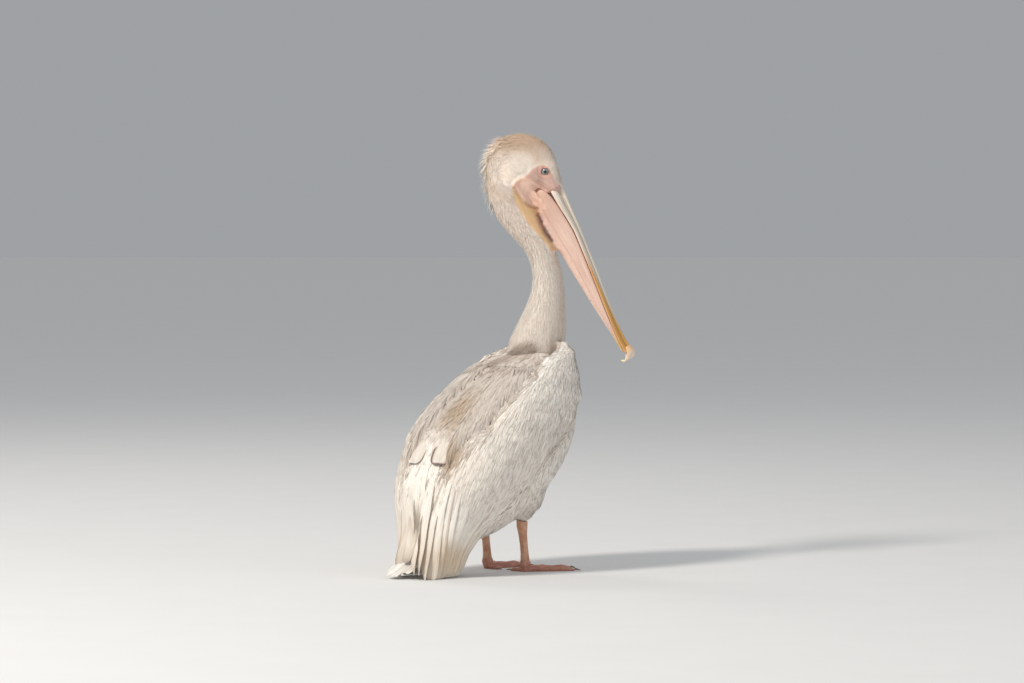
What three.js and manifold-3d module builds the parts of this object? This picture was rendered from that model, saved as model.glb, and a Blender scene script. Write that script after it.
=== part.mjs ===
// A life-size standing pelican, still, as a museum shows one.
// Millimetres. +X is the way the body faces, +Y its left, +Z up, and the floor is z = 0.
// Places are measured from between the ankles, and the whole is shifted at the end.
// The body stands steeply on two webbed feet and the tip of its tail, with its wings folded,
// and the head is turned over the right shoulder with the bill pointing down.
import * as THREE from "three";
import { mergeVertices } from "three/addons/utils/BufferGeometryUtils.js";
import Module from "manifold-3d";

const wasm = await Module();
wasm.setup();

// ---------- driving dimensions ----------
const GAP = 0.3; // between neighbouring pieces
const ORIGIN_SHIFT = 37.2; // in x, from between the ankles to under the middle of the whole bird
const SECTION_POWER = 2.5; // superellipse power of the body's level sections

// Outline of the body with its folded wings, as level sections:
// height, rearmost x, foremost x, half width.
const BODY = [
  [0, -273, -156, 53],
  [34, -269, -149, 61],
  [75, -259, -135, 80],
  [115, -253, -78, 104],
  [154, -257, 22, 124],
  [195, -253, 87, 140],
  [236, -235, 115, 149],
  [277, -217, 136, 153],
  [305, -197, 142, 153],
  [340, -158, 145, 148],
  [376, -116, 146, 138],
  [408, -73, 149, 125],
  [438, -20, 149, 109],
  [458, 20, 144, 98],
  [476, 56, 134, 88],
];
// The trunk's own outline where it leaves the wings' and draws in to the vent.
const TRUNK_LOW = [
  [58, -200, -120, 26],
  [72, -214, -78, 46],
  [90, -228, -30, 68],
  [112, -240, 8, 86],
  [133, -247, 38, 101],
  [154, -252, 58, 116],
];
const TRUNK_TOP = [462, 44, 120, 52]; // where the trunk closes round the foot of the neck
const TRUNK_INSET = 2; // of the trunk from the outline of wings and scapulars over it
// Folded wing: height, angle of the inner edge, angle of the lower edge, thickness.
// Angles go round a level section from straight ahead, in degrees.
const WING = [
  [0, 177, 56, 9],
  [40, 177, 44, 10],
  [80, 177, 48, 12],
  [120, 176, 66, 13],
  [160, 174, 82, 14],
  [204, 168, 84, 16],
  [246, 158, 79, 18],
  [282, 150, 75, 19],
  [312, 140, 69, 20],
  [360, 134, 48, 22],
  [408, 126, 32, 24],
  [440, 122, 28, 24],
  [476, 118, 24, 22],
];
const WING_FOOT = 64; // height of a wing's tip at its inner edge, over the tail; outside it is at 0
const WING_TOP_BACK = 444; // height of a wing's upper border at its inner edge
const WING_TOP_FRONT = 474; // and at the bend of the wing in front
const WING_PROUD = [3, 5]; // how far a wing stands out of the body, at its edges and mid-width
// Scapular feathers over each shoulder blade: height, angles of the two edges, thickness.
const SCAPULARS = [
  [238, 163, 159.5, 4],
  [262, 165, 157, 7],
  [300, 166, 148, 10],
  [340, 167, 140, 12],
  [376, 168, 135, 12],
  [408, 171, 130, 10],
  [430, 174, 128, 7],
];
const SCAPULAR_PROUD = [2.4, 4.2];
// The long flight feathers are parted from the coverts along a sloping cut.
const FLIGHT_CUT = { x: -250, height: 196, slope: 42 }; // its rear end, and its fall in degrees

const HEAD_YAW = -45; // the head and the bow of the neck turn to the right
const BILL_PITCH = 64; // of the bill below level
const HEAD_ROLL = 8;
const HEAD_PLANE = 74; // distance of the head's plane behind the origin, seen along its normal
// Neck: distance along the head's plane, height, half depth, half breadth, and distance behind
// the origin where its foot leaves that plane for the middle of the body.
const NECK = [
  [42, 376, 50, 54, 42],
  [56, 426, 58, 58, 56],
  [68, 470, 59, 55, 68],
  [78, 504, 53, 49],
  [84, 532, 46, 43],
  [90, 568, 38, 37],
  [91, 600, 33.5, 33],
  [87, 632, 31, 31],
  [79, 660, 29.5, 30],
  [64, 690, 31.5, 30],
  [45, 716, 35.5, 31],
  [24, 746, 40, 32],
  [8, 780, 44, 33],
  [4, 815, 48, 34],
];
const CRANIUM = { along: 31, height: 845, halfLength: 79, halfBreadth: 31, halfHeight: 72 };
const PARTING = { along: 10, height: 762, slope: -10 }; // of the head from the neck, in degrees
const FACE_ALONG = 86; // of the face's middle between the eyes, in the head's plane
const FACE_HEIGHT = 842;
const EYE_RADIUS = 10;
const EYE = { ahead: 5, out: 16.5, up: -2 }; // an eye's centre, from the face's middle

// Sections along the face and bill: distance ahead of the face's middle, top, bottom, half width.
const FACE = [
  [-42, 6, -68, 22],
  [-20, 22, -58, 26],
  [0, 27.5, -40, 25.5],
  [22, 23.5, -31, 24.5],
  [42, 19, -24, 24],
  [60, 17, -15.5, 23.5],
];
const BILL_UPPER = [
  [60.3, 17, -15.5, 23.5],
  [80, 16, -8, 22.5],
  [110, 16, -5, 21],
  [150, 16.3, -1.5, 19.5],
  [190, 15, -0.5, 18.5],
  [240, 11.5, 0, 18.5],
  [285, 7, -1.5, 20],
  [330, 2.5, -8, 22],
  [365, 0.5, -9, 23.5],
  [400, -2, -12, 20],
  [420, -2.3, -15, 14],
];
const NAIL = [
  [420.3, -2.3, -19, 14],
  [428, -0.5, -22, 13],
  [434, -3, -26, 10.5],
  [438, -9, -30, 8],
  [438.6, -18, -32.5, 6],
  [436, -26, -34, 4],
];
const BILL_LOWER = [
  [-8, -49, -58, 26],
  [6, -38, -51, 29.5],
  [22, -31.8, -44, 29],
  [42, -24.6, -36, 27],
  [60, -16.6, -30, 25],
  [80, -8.6, -24, 22.5],
  [110, -5.6, -19, 20.5],
  [150, -2.1, -15, 18.5],
  [190, -1.1, -13.5, 17.2],
  [240, -0.6, -12.5, 17],
  [285, -2.1, -13, 18.5],
  [330, -8.6, -17, 20.5],
  [365, -9.6, -18.5, 21],
  [400, -12.6, -20, 17],
  [420, -15.6, -21.5, 11],
];
const POUCH_BAND = [
  [4, -48, -70, 29],
  [42, -35, -60, 26],
  [70, -26, -55, 21.5],
  [110, -18, -54, 17.5],
  [150, -14, -52.5, 15.5],
  [200, -13, -48.5, 13.5],
  [240, -12, -45, 12.5],
  [285, -12, -40, 12],
  [330, -16, -35.5, 12],
  [365, -18, -30, 11],
  [400, -20, -25.5, 8],
];
// The pouch's bare skin down the front of the throat, as the room it takes out of the neck.
const THROAT = [
  [-8, -48, -76, 46],
  [15, -48, -86, 46],
  [42, -48, -88, 46],
  [70, -48, -85, 46],
  [95, -40, -81, 46],
  [121, -40, -77, 44],
  [145, -40, -71, 40],
  [163, -50, -65, 36],
];

// Legs and feet, for one side: y is mirrored for the other.
const ANKLE = { x: 4, y: 56, height: 14 };
const ANKLE_TOP = 22; // where the foot meets the shank
const SHANK = [
  // x, y, height, half depth, half breadth
  [3, 56, 24, 10.4, 8.6],
  [1, 56, 46, 8.8, 7.4],
  [-3, 56, 74, 9.4, 7.8],
  [-7, 57, 100, 13, 10.5],
  [-8, 59, 124, 12.5, 11],
  [-9, 61, 146, 13, 12],
];
const THIGH = [
  [-6, 61, 124, 25, 20],
  [-6, 66, 142, 42, 32],
  [-14, 69, 172, 66, 43],
  [-30, 64, 208, 76, 46],
];
const TOES = [
  // name, way it points out from straight ahead in degrees, length, radius at the root
  ["inner", -24, 100, 6.5],
  ["middle", 3, 118, 7],
  ["outer", 30, 104, 6.5],
  ["hind", -104, 38, 5],
];
const FOOT_TURN = 6; // of a whole foot outwards
const WEB_THICK = 2.6;
const CLAW_LENGTH = 13;

const TAIL_ROOT = { x: -196, height: 112 };
const TAIL_TIP = { x: -324, height: 0 };
const TAIL_SPREAD = 19; // of the outermost feather from the middle one, in degrees
const TAIL_FEATHERS = 7;
// Along a tail feather: share of its length, half width, half thickness.
const TAIL_FEATHER = [
  [0, 9, 6],
  [0.78, 17, 3.4],
  [0.94, 13, 2],
  [1.01, 5, 1.2],
];

// ---------- shapes ----------
const radians = THREE.MathUtils.degToRad;

// A smooth curve through a table's rows, read at x in its first column.
function smooth(table, x) {
  const last = table.length - 1;
  let i = 0;
  while (i < last - 1 && x > table[i + 1][0]) i++;
  const [a, b] = [table[i], table[i + 1]];
  const before = table[Math.max(i - 1, 0)];
  const after = table[Math.min(i + 2, last)];
  const span = b[0] - a[0];
  const t = THREE.MathUtils.clamp((x - a[0]) / span, 0, 1);
  return a.map((from, k) => {
    const slopeA = ((b[k] - before[k]) / (b[0] - before[0])) * span;
    const slopeB = ((after[k] - a[k]) / (after[0] - a[0])) * span;
    const [t2, t3] = [t * t, t * t * t];
    return (
      from * (2 * t3 - 3 * t2 + 1) +
      slopeA * (t3 - 2 * t2 + t) +
      b[k] * (3 * t2 - 2 * t3) +
      slopeB * (t3 - t2)
    );
  });
}

function geometryOf(points, faces) {
  const geometry = new THREE.BufferGeometry();
  geometry.setAttribute(
    "position",
    new THREE.Float32BufferAttribute(points.flatMap((p) => [p.x, p.y, p.z]), 3),
  );
  geometry.setIndex(faces);
  return geometry;
}

// A closed body through rings of points, each closed at its end by a fan.
function loft(rings) {
  const count = rings[0].length;
  const points = rings.flat();
  const faces = [];
  for (let r = 0; r < rings.length - 1; r++)
    for (let k = 0; k < count; k++) {
      const [a, b] = [r * count + k, r * count + ((k + 1) % count)];
      faces.push(a, b, b + count, a, b + count, a + count);
    }
  for (const r of [0, rings.length - 1]) {
    const middle = new THREE.Vector3();
    for (const p of rings[r]) middle.addScaledVector(p, 1 / count);
    points.push(middle);
    for (let k = 0; k < count; k++) {
      const [a, b] = [r * count + k, r * count + ((k + 1) % count)];
      faces.push(...(r ? [a, b, points.length - 1] : [b, a, points.length - 1]));
    }
  }
  return geometryOf(points, faces);
}

// A closed plate between two grids of points of the same size.
function plate(outer, inner) {
  const [rows, columns] = [outer.length, outer[0].length];
  const at = (layer, r, c) => (layer * rows + r) * columns + c;
  const faces = [];
  const quad = (a, b, c, d) => faces.push(a, b, c, a, c, d);
  for (let r = 0; r < rows - 1; r++)
    for (let c = 0; c < columns - 1; c++) {
      quad(at(0, r, c), at(0, r, c + 1), at(0, r + 1, c + 1), at(0, r + 1, c));
      quad(at(1, r, c), at(1, r + 1, c), at(1, r + 1, c + 1), at(1, r, c + 1));
    }
  for (let c = 0; c < columns - 1; c++) {
    quad(at(0, 0, c + 1), at(0, 0, c), at(1, 0, c), at(1, 0, c + 1));
    quad(at(0, rows - 1, c), at(0, rows - 1, c + 1), at(1, rows - 1, c + 1), at(1, rows - 1, c));
  }
  for (let r = 0; r < rows - 1; r++) {
    quad(at(0, r, 0), at(0, r + 1, 0), at(1, r + 1, 0), at(1, r, 0));
    quad(at(0, r + 1, columns - 1), at(0, r, columns - 1), at(1, r, columns - 1), at(1, r + 1, columns - 1));
  }
  return geometryOf([...outer.flat(), ...inner.flat()], faces);
}

function solidOf(geometry) {
  const bare = geometry.clone();
  bare.deleteAttribute("normal");
  bare.deleteAttribute("uv");
  const merged = mergeVertices(bare, 1e-3);
  const solid = new wasm.Manifold(
    new wasm.Mesh({
      numProp: 3,
      vertProperties: new Float32Array(merged.attributes.position.array),
      triVerts: new Uint32Array(merged.index.array),
    }),
  );
  if (solid.volume() > 0) return solid;
  // A mirrored or reversed body is turned the right way round.
  const turned = new Uint32Array(merged.index.array);
  for (let i = 0; i < turned.length; i += 3) [turned[i], turned[i + 1]] = [turned[i + 1], turned[i]];
  return new wasm.Manifold(
    new wasm.Mesh({
      numProp: 3,
      vertProperties: new Float32Array(merged.attributes.position.array),
      triVerts: turned,
    }),
  );
}

function geometryOfSolid(solid) {
  const mesh = solid.getMesh();
  const geometry = new THREE.BufferGeometry();
  geometry.setAttribute("position", new THREE.BufferAttribute(mesh.vertProperties.slice(), 3));
  geometry.setIndex(new THREE.BufferAttribute(mesh.triVerts.slice(), 1));
  return geometry;
}

const largest = (solid) =>
  solid.decompose().reduce((best, s) => (s.volume() > best.volume() ? s : best));

// A big box that keeps or removes all on one side of a plane, whose normal points into the box.
function halfSpace(point, normal, size = 1200) {
  const box = new THREE.BoxGeometry(size, size, size).translate(0, 0, size / 2);
  const turn = new THREE.Quaternion().setFromUnitVectors(
    new THREE.Vector3(0, 0, 1),
    normal.clone().normalize(),
  );
  box.applyQuaternion(turn).translate(point.x, point.y, point.z);
  return solidOf(box);
}

// Power of a sine or cosine that keeps its sign, for superellipse sections.
const signedPower = (v, power) => Math.sign(v) * Math.abs(v) ** power;

// A ring of an ellipse about a centre, with two half axes given as vectors.
function sectionRing(centre, axisA, axisB, count) {
  return Array.from({ length: count }, (_, k) => {
    const angle = (2 * Math.PI * k) / count;
    return centre
      .clone()
      .addScaledVector(axisA, Math.cos(angle))
      .addScaledVector(axisB, Math.sin(angle));
  });
}

// A tube through centres along a spine, each with its half depth in the spine's plane and half
// breadth across it. Round ends close it.
function tube(stations, side, count, steps, grow = 0) {
  const spine = new THREE.CatmullRomCurve3(stations.map((s) => s.at));
  const table = stations.map((s, i) => [i, s.depth, s.breadth]);
  const rings = [];
  const ringAt = (t, shrink, push) => {
    const tangent = spine.getTangent(t);
    const across = side.clone().addScaledVector(tangent, -side.dot(tangent)).normalize();
    const deep = tangent.clone().cross(across);
    const [, depth, breadth] = smooth(table, t * (stations.length - 1));
    rings.push(
      sectionRing(
        spine.getPoint(t).addScaledVector(tangent, push),
        deep.multiplyScalar((depth + grow) * shrink),
        across.multiplyScalar((breadth + grow) * shrink),
        count,
      ),
    );
  };
  const roundEnd = (t, way) => {
    const reach = (smooth(table, t * (stations.length - 1))[1] + grow) * 0.8;
    const bend = [70, 35];
    const angles = way < 0 ? bend : [...bend].reverse();
    for (const a of angles) ringAt(t, Math.cos(radians(a)), way * reach * Math.sin(radians(a)));
  };
  roundEnd(0, -1);
  for (let i = 0; i <= steps; i++) ringAt(i / steps, 1, 0);
  roundEnd(1, 1);
  return loft(rings);
}

// ---------- body ----------
const LOW_RINGS = [58, 66, 84, 108, 132, 156];
const HIGH_RINGS = [190, 228, 266, 304, 342, 378, 412, 438];
const TRUNK_RINGS = 28; // points round the trunk

function bodyPoint(table, height, degrees, out, side) {
  const [, rear, fore, wide] = smooth(table, height);
  const angle = radians(degrees);
  return new THREE.Vector3(
    (rear + fore) / 2 + ((fore - rear) / 2 + out) * signedPower(Math.cos(angle), 2 / SECTION_POWER),
    side * (wide + out) * signedPower(Math.sin(angle), 2 / SECTION_POWER),
    height,
  );
}

function trunkGeometry(grow = 0) {
  const upper = BODY.filter((row) => row[0] > 160);
  const table = [...TRUNK_LOW, ...upper];
  const top = [...upper.filter((row) => row[0] < 440), TRUNK_TOP];
  const ring = (height, rows) =>
    Array.from({ length: TRUNK_RINGS }, (_, k) =>
      bodyPoint(rows, height, (360 * k) / TRUNK_RINGS, grow - TRUNK_INSET, 1),
    );
  return loft([
    ...[...LOW_RINGS, ...HIGH_RINGS].map((height) => ring(height, table)),
    ring(TRUNK_TOP[0] - 7 + grow, top),
    ring(TRUNK_TOP[0] + grow, top),
  ]);
}

const BORDER = 0.03; // share of a wing's height that its bevelled top border takes
const BORDER_DROP = 0.5; // share of the wing's thickness the bevel falls by
const EDGE_ROUNDING = 0.7; // the lower, the flatter a wing's middle and the rounder its edges

// A curved plate over the body's outline. Its table gives the angles of both edges and the
// thickness at each height; foot and top give the heights of its ends across its width.
function overlay(table, side, grow, { columns, rows, foot, top, proud }) {
  const outer = [];
  const inner = [];
  for (let r = 0; r <= rows; r++) {
    const rise = r === rows ? 1 : ((1 - BORDER) * r) / (rows - 1);
    const drop = r === rows ? BORDER_DROP : 0;
    const outerRow = [];
    const innerRow = [];
    for (let c = 0; c <= columns; c++) {
      const share = c / columns;
      const height = THREE.MathUtils.lerp(foot(share) - grow, top(share) + grow, rise);
      const [, innerEdge, lowerEdge, thick] = smooth(table, height);
      const angle = THREE.MathUtils.lerp(innerEdge + grow, lowerEdge - grow, share);
      const stand = THREE.MathUtils.lerp(proud[0], proud[1], Math.sin(Math.PI * share) ** EDGE_ROUNDING);
      outerRow.push(bodyPoint(BODY, height, angle, stand - (stand + thick) * drop + grow, side));
      innerRow.push(bodyPoint(BODY, height, angle, -thick - grow, side));
    }
    outer.push(outerRow);
    inner.push(innerRow);
  }
  return plate(outer, inner);
}

const wingGeometry = (side, grow = 0) =>
  overlay(WING, side, grow, {
    columns: 8,
    rows: 11,
    foot: (share) => WING_FOOT * (1 - THREE.MathUtils.smoothstep(share, 0, 0.5)),
    top: (share) =>
      THREE.MathUtils.lerp(WING_TOP_BACK, WING_TOP_FRONT, THREE.MathUtils.smoothstep(share, 0, 0.5)),
    proud: WING_PROUD,
  });

const scapularGeometry = (side, grow = 0) =>
  overlay(SCAPULARS, side, grow, {
    columns: 3,
    rows: 7,
    foot: () => SCAPULARS[0][0],
    top: () => SCAPULARS.at(-1)[0],
    proud: SCAPULAR_PROUD,
  });

// ---------- head, neck and bill ----------
const alongHead = new THREE.Vector3(Math.cos(radians(HEAD_YAW)), Math.sin(radians(HEAD_YAW)), 0);
const leftOfHead = new THREE.Vector3(-alongHead.y, alongHead.x, 0);
const headPoint = (along, height, behind = HEAD_PLANE) =>
  alongHead.clone().multiplyScalar(along).addScaledVector(leftOfHead, behind).setZ(height);
const headFrame = new THREE.Matrix4()
  .makeRotationFromEuler(
    new THREE.Euler(radians(HEAD_ROLL), radians(BILL_PITCH), radians(HEAD_YAW), "ZYX"),
  )
  .setPosition(headPoint(FACE_ALONG, FACE_HEIGHT));

// A ring of the bill. Its outline is a list of [width share, depth share], from the top's
// middle to the bottom's middle down one side.
function billRing([ahead, top, bottom, wide], outline) {
  const half = outline.map(
    ([w, d]) => new THREE.Vector3(ahead, w * wide, THREE.MathUtils.lerp(top, bottom, d)),
  );
  const other = half
    .slice(1, -1)
    .reverse()
    .map((p) => new THREE.Vector3(p.x, -p.y, p.z));
  return [...half, ...other];
}
// A ridge along the top, a shallow plate to each side and a blunt cutting edge.
const RIDGED = [
  [0, 0],
  [0.24, 0.05],
  [0.38, 0.28],
  [0.72, 0.46],
  [0.96, 0.66],
  [1, 0.86],
  [0.88, 1],
  [0, 1],
];
const OVAL = [
  [0, 0],
  [0.42, 0.06],
  [0.78, 0.2],
  [0.97, 0.42],
  [0.94, 0.66],
  [0.7, 0.88],
  [0.36, 0.98],
  [0, 1],
];
const ROUND = [
  [0, 0],
  [0.64, 0.1],
  [1, 0.42],
  [0.8, 0.84],
  [0, 1],
];
const BLUNT = [
  [0, 0],
  [0.86, 0],
  [1, 0.2],
  [0.98, 0.6],
  [0.86, 1],
  [0, 1],
];
const KEELED = [
  [0, 0],
  [0.86, 0],
  [1, 0.12],
  [0.9, 0.45],
  [0.62, 0.8],
  [0.3, 0.97],
  [0, 1],
];

function billLoft(table, outline, steps, grow = 0) {
  const [from, to] = [table[0][0] - grow, table.at(-1)[0] + grow];
  const rings = [];
  for (let i = 0; i <= steps; i++) {
    const ahead = THREE.MathUtils.lerp(from, to, i / steps);
    const [, top, bottom, wide] = smooth(table, ahead);
    rings.push(billRing([ahead, top + grow, bottom - grow, wide + grow], outline));
  }
  return loft(rings).applyMatrix4(headFrame);
}

// The hook at the end of the bill.
const nailGeometry = () => loft(NAIL.map((row) => billRing(row, ROUND))).applyMatrix4(headFrame);

function neckGeometry(grow) {
  const stations = NECK.map(([along, height, depth, breadth, behind]) => ({
    at: headPoint(along, height, behind),
    depth,
    breadth,
  }));
  return tube(stations, leftOfHead, 16, 14, grow);
}

function craniumGeometry(grow) {
  const { along, height, halfLength, halfBreadth, halfHeight } = CRANIUM;
  return new THREE.SphereGeometry(1, 20, 10)
    .scale(halfLength + grow, halfBreadth + grow, halfHeight + grow)
    .rotateZ(radians(HEAD_YAW))
    .translate(...headPoint(along, height).toArray());
}

const eyeGeometry = (side, grow = 0) =>
  new THREE.SphereGeometry(EYE_RADIUS + grow, 10, 6).translate(
    ...new THREE.Vector3(EYE.ahead, side * EYE.out, EYE.up).applyMatrix4(headFrame).toArray(),
  );

// ---------- legs and feet ----------
const legPoint = (x, y, height, side) => new THREE.Vector3(x, side * y, height);
const legStations = (rows, side) =>
  rows.map(([x, y, height, depth, breadth]) => ({ at: legPoint(x, y, height, side), depth, breadth }));
const BODY_SIDE = new THREE.Vector3(0, 1, 0);

const shankGeometry = (side) => tube(legStations(SHANK, side), BODY_SIDE, 8, 7);
const thighGeometry = (side, grow = 0) => tube(legStations(THIGH, side), BODY_SIDE, 14, 4, grow);

function toeWay(degrees, side) {
  const angle = radians(degrees + FOOT_TURN);
  return new THREE.Vector3(Math.cos(angle), side * Math.sin(angle), 0);
}

// Along a toe: share of its length, girth as a share of the root's radius.
const TOE = [
  [-0.06, 1],
  [0.2, 1.04],
  [0.42, 0.94],
  [0.58, 0.76],
  [0.8, 0.82],
  [1, 0.36],
];

function toeGeometry(root, way, length, radius) {
  const across = new THREE.Vector3(-way.y, way.x, 0);
  return loft(
    TOE.map(([share, girth]) => {
      const r = radius * girth;
      const centre = root.clone().addScaledVector(way, share * length).setZ(r * 0.86);
      return sectionRing(centre, across.clone().multiplyScalar(r), new THREE.Vector3(0, 0, r), 6);
    }),
  );
}

// The web between two toes, a thin plate whose free edge bows in between the toe tips.
function webGeometry(root, [wayA, lengthA], [wayB, lengthB], bow) {
  const columns = 5;
  const rows = 3;
  const top = [];
  const bottom = [];
  for (let r = 0; r < rows; r++) {
    const topRow = [];
    const bottomRow = [];
    for (let c = 0; c < columns; c++) {
      const share = c / (columns - 1);
      const dip = 1 - bow * Math.sin(Math.PI * share);
      const reach = (0.04 + (0.96 * r) / (rows - 1)) * 0.94 * dip;
      const p = root
        .clone()
        .addScaledVector(wayA, lengthA * (1 - share) * reach)
        .addScaledVector(wayB, lengthB * share * reach);
      topRow.push(p.clone().setZ(WEB_THICK + 1.6 * Math.cos(share * 4 * Math.PI) ** 2));
      bottomRow.push(p.clone().setZ(-1));
    }
    top.push(topRow);
    bottom.push(bottomRow);
  }
  return plate(top, bottom);
}

const WEBS = [
  // toes on each side, and how far the free edge bows in
  ["hind", "inner", 0.42],
  ["inner", "middle", 0.16],
  ["middle", "outer", 0.16],
];
const footRoot = (side) => legPoint(ANKLE.x, ANKLE.y, 0, side);

function footSolid(side) {
  const root = footRoot(side);
  const toes = Object.fromEntries(
    TOES.map(([name, degrees, length]) => [name, [toeWay(degrees, side), length]]),
  );
  const ankle = [
    [ANKLE.x - 1, ANKLE.y, 30, 10.4, 8.6],
    [ANKLE.x, ANKLE.y, ANKLE.height, 13, 11],
  ];
  let foot = solidOf(tube(legStations(ankle, side), BODY_SIDE, 8, 1));
  for (const [name, , length, radius] of TOES)
    foot = foot.add(solidOf(toeGeometry(root, toes[name][0], length, radius)));
  for (const [a, b, bow] of WEBS) foot = foot.add(solidOf(webGeometry(root, toes[a], toes[b], bow)));
  return foot;
}

// Along a claw: share of its length, radius and height as shares of the toe's root radius.
const CLAW = [
  [0, 0.36, 0.6],
  [0.5, 0.28, 0.5],
  [1, 0.08, 0.14],
];

function clawGeometry(side, [, degrees, length, radius]) {
  const way = toeWay(degrees, side);
  const root = footRoot(side).addScaledVector(way, length + GAP);
  const across = new THREE.Vector3(-way.y, way.x, 0);
  return loft(
    CLAW.map(([share, girth, height]) =>
      sectionRing(
        root.clone().addScaledVector(way, share * CLAW_LENGTH).setZ(height * radius),
        across.clone().multiplyScalar(girth * radius),
        new THREE.Vector3(0, 0, girth * radius),
        6,
      ),
    ),
  );
}

// ---------- tail ----------
// Blunt overlapping feathers joined in one fan.
function tailSolid() {
  const root = new THREE.Vector3(TAIL_ROOT.x, 0, TAIL_ROOT.height);
  const down = new THREE.Vector3(TAIL_TIP.x, 0, TAIL_TIP.height).sub(root);
  const length = down.length();
  down.normalize();
  const outward = BODY_SIDE.clone().cross(down);
  let tail = null;
  for (let i = 0; i < TAIL_FEATHERS; i++) {
    const share = (2 * i) / (TAIL_FEATHERS - 1) - 1;
    const angle = radians(share * TAIL_SPREAD);
    const way = down.clone().multiplyScalar(Math.cos(angle)).addScaledVector(BODY_SIDE, Math.sin(angle));
    const across = way.clone().cross(outward);
    const feather = loft(
      TAIL_FEATHER.map(([t, wide, thick]) =>
        sectionRing(
          root
            .clone()
            .addScaledVector(way, t * length * (1 - 0.07 * share * share))
            .addScaledVector(outward, -6 * share * share),
          across.clone().multiplyScalar(wide),
          outward.clone().multiplyScalar(thick),
          6,
        ),
      ),
    );
    tail = tail ? tail.add(solidOf(feather)) : solidOf(feather);
  }
  return tail;
}

// ---------- cutting ----------
const UP = new THREE.Vector3(0, 0, 1);
const DOWN = new THREE.Vector3(0, 0, -1);
const above = (height) => halfSpace(new THREE.Vector3(0, 0, height), UP);
const below = (height) => halfSpace(new THREE.Vector3(0, 0, height), DOWN);
const bothSides = (make, grow) => solidOf(make(-1, grow)).add(solidOf(make(1, grow)));

// The two sides of a thin cut through a point.
function partingCut(point, normal) {
  const back = normal.clone().negate();
  return [
    halfSpace(point.clone().addScaledVector(normal, GAP / 2), normal),
    halfSpace(point.clone().addScaledVector(back, GAP / 2), back),
  ];
}

const wingRoom = bothSides(wingGeometry, GAP);
const scapularRoom = bothSides(scapularGeometry, GAP);
const thighRoom = bothSides(thighGeometry, GAP);
const eyeRoom = bothSides(eyeGeometry, GAP);
const trunkRoom = solidOf(trunkGeometry(GAP));

// Head, neck and throat in one, parted afterwards.
const wholeHead = (grow) =>
  solidOf(neckGeometry(grow))
    .add(solidOf(craniumGeometry(grow)))
    .add(solidOf(billLoft(FACE, OVAL, 5, grow)));
const throatRoom = (grow) => solidOf(billLoft(THROAT, OVAL, 5, grow));
const band = (grow) => solidOf(billLoft(POUCH_BAND, KEELED, 8, grow));
const upperBill = (grow) => solidOf(billLoft(BILL_UPPER, RIDGED, 11, grow));
const lowerBill = (grow) =>
  solidOf(billLoft(BILL_LOWER, BLUNT, 11, grow)).subtract(upperBill(GAP - grow));
const jawRoom = throatRoom(GAP).add(band(GAP)).add(lowerBill(GAP));
const partingSlope = radians(PARTING.slope);
const [headSide, neckSide] = partingCut(
  headPoint(PARTING.along, PARTING.height),
  alongHead.clone().multiplyScalar(-Math.sin(partingSlope)).addScaledVector(UP, Math.cos(partingSlope)),
);
const flesh = wholeHead(0);
const head = flesh.intersect(headSide).subtract(eyeRoom).subtract(jawRoom);
const neck = flesh.intersect(neckSide).subtract(jawRoom).subtract(wingRoom).subtract(trunkRoom);
const pouch = flesh
  .intersect(throatRoom(0))
  .add(band(0))
  .subtract(lowerBill(GAP))
  .subtract(upperBill(GAP));
const trunk = solidOf(trunkGeometry()).subtract(wingRoom).subtract(scapularRoom);
const tail = tailSolid().intersect(above(0)).subtract(wingRoom).subtract(trunkRoom);

const cutSlope = radians(FLIGHT_CUT.slope);
const [flightSide, covertSide] = partingCut(
  new THREE.Vector3(FLIGHT_CUT.x, 0, FLIGHT_CUT.height),
  new THREE.Vector3(-Math.sin(cutSlope), 0, -Math.cos(cutSlope)),
);

// ---------- assembly ----------
const finish = (colour, roughness) =>
  new THREE.MeshStandardMaterial({ color: colour, roughness, metalness: 0 });
const PLUMAGE = finish(0xe6ddd0, 0.9);
const POUCH_SKIN = finish(0xd9b27c, 0.55);
const BILL_HORN = finish(0xe6c8ae, 0.45);
const NAIL_HORN = finish(0xefe3c4, 0.4);
const LEG_SKIN = finish(0xd79a78, 0.6);
const CLAW_HORN = finish(0x6b5a50, 0.5);
const EYE_GLOSS = finish(0x75807f, 0.1);

const group = new THREE.Group();
group.position.x = ORIGIN_SHIFT;
function addMesh(name, solid, material) {
  const mesh = new THREE.Mesh(geometryOfSolid(largest(solid)), material);
  mesh.name = name;
  group.add(mesh);
}

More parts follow.
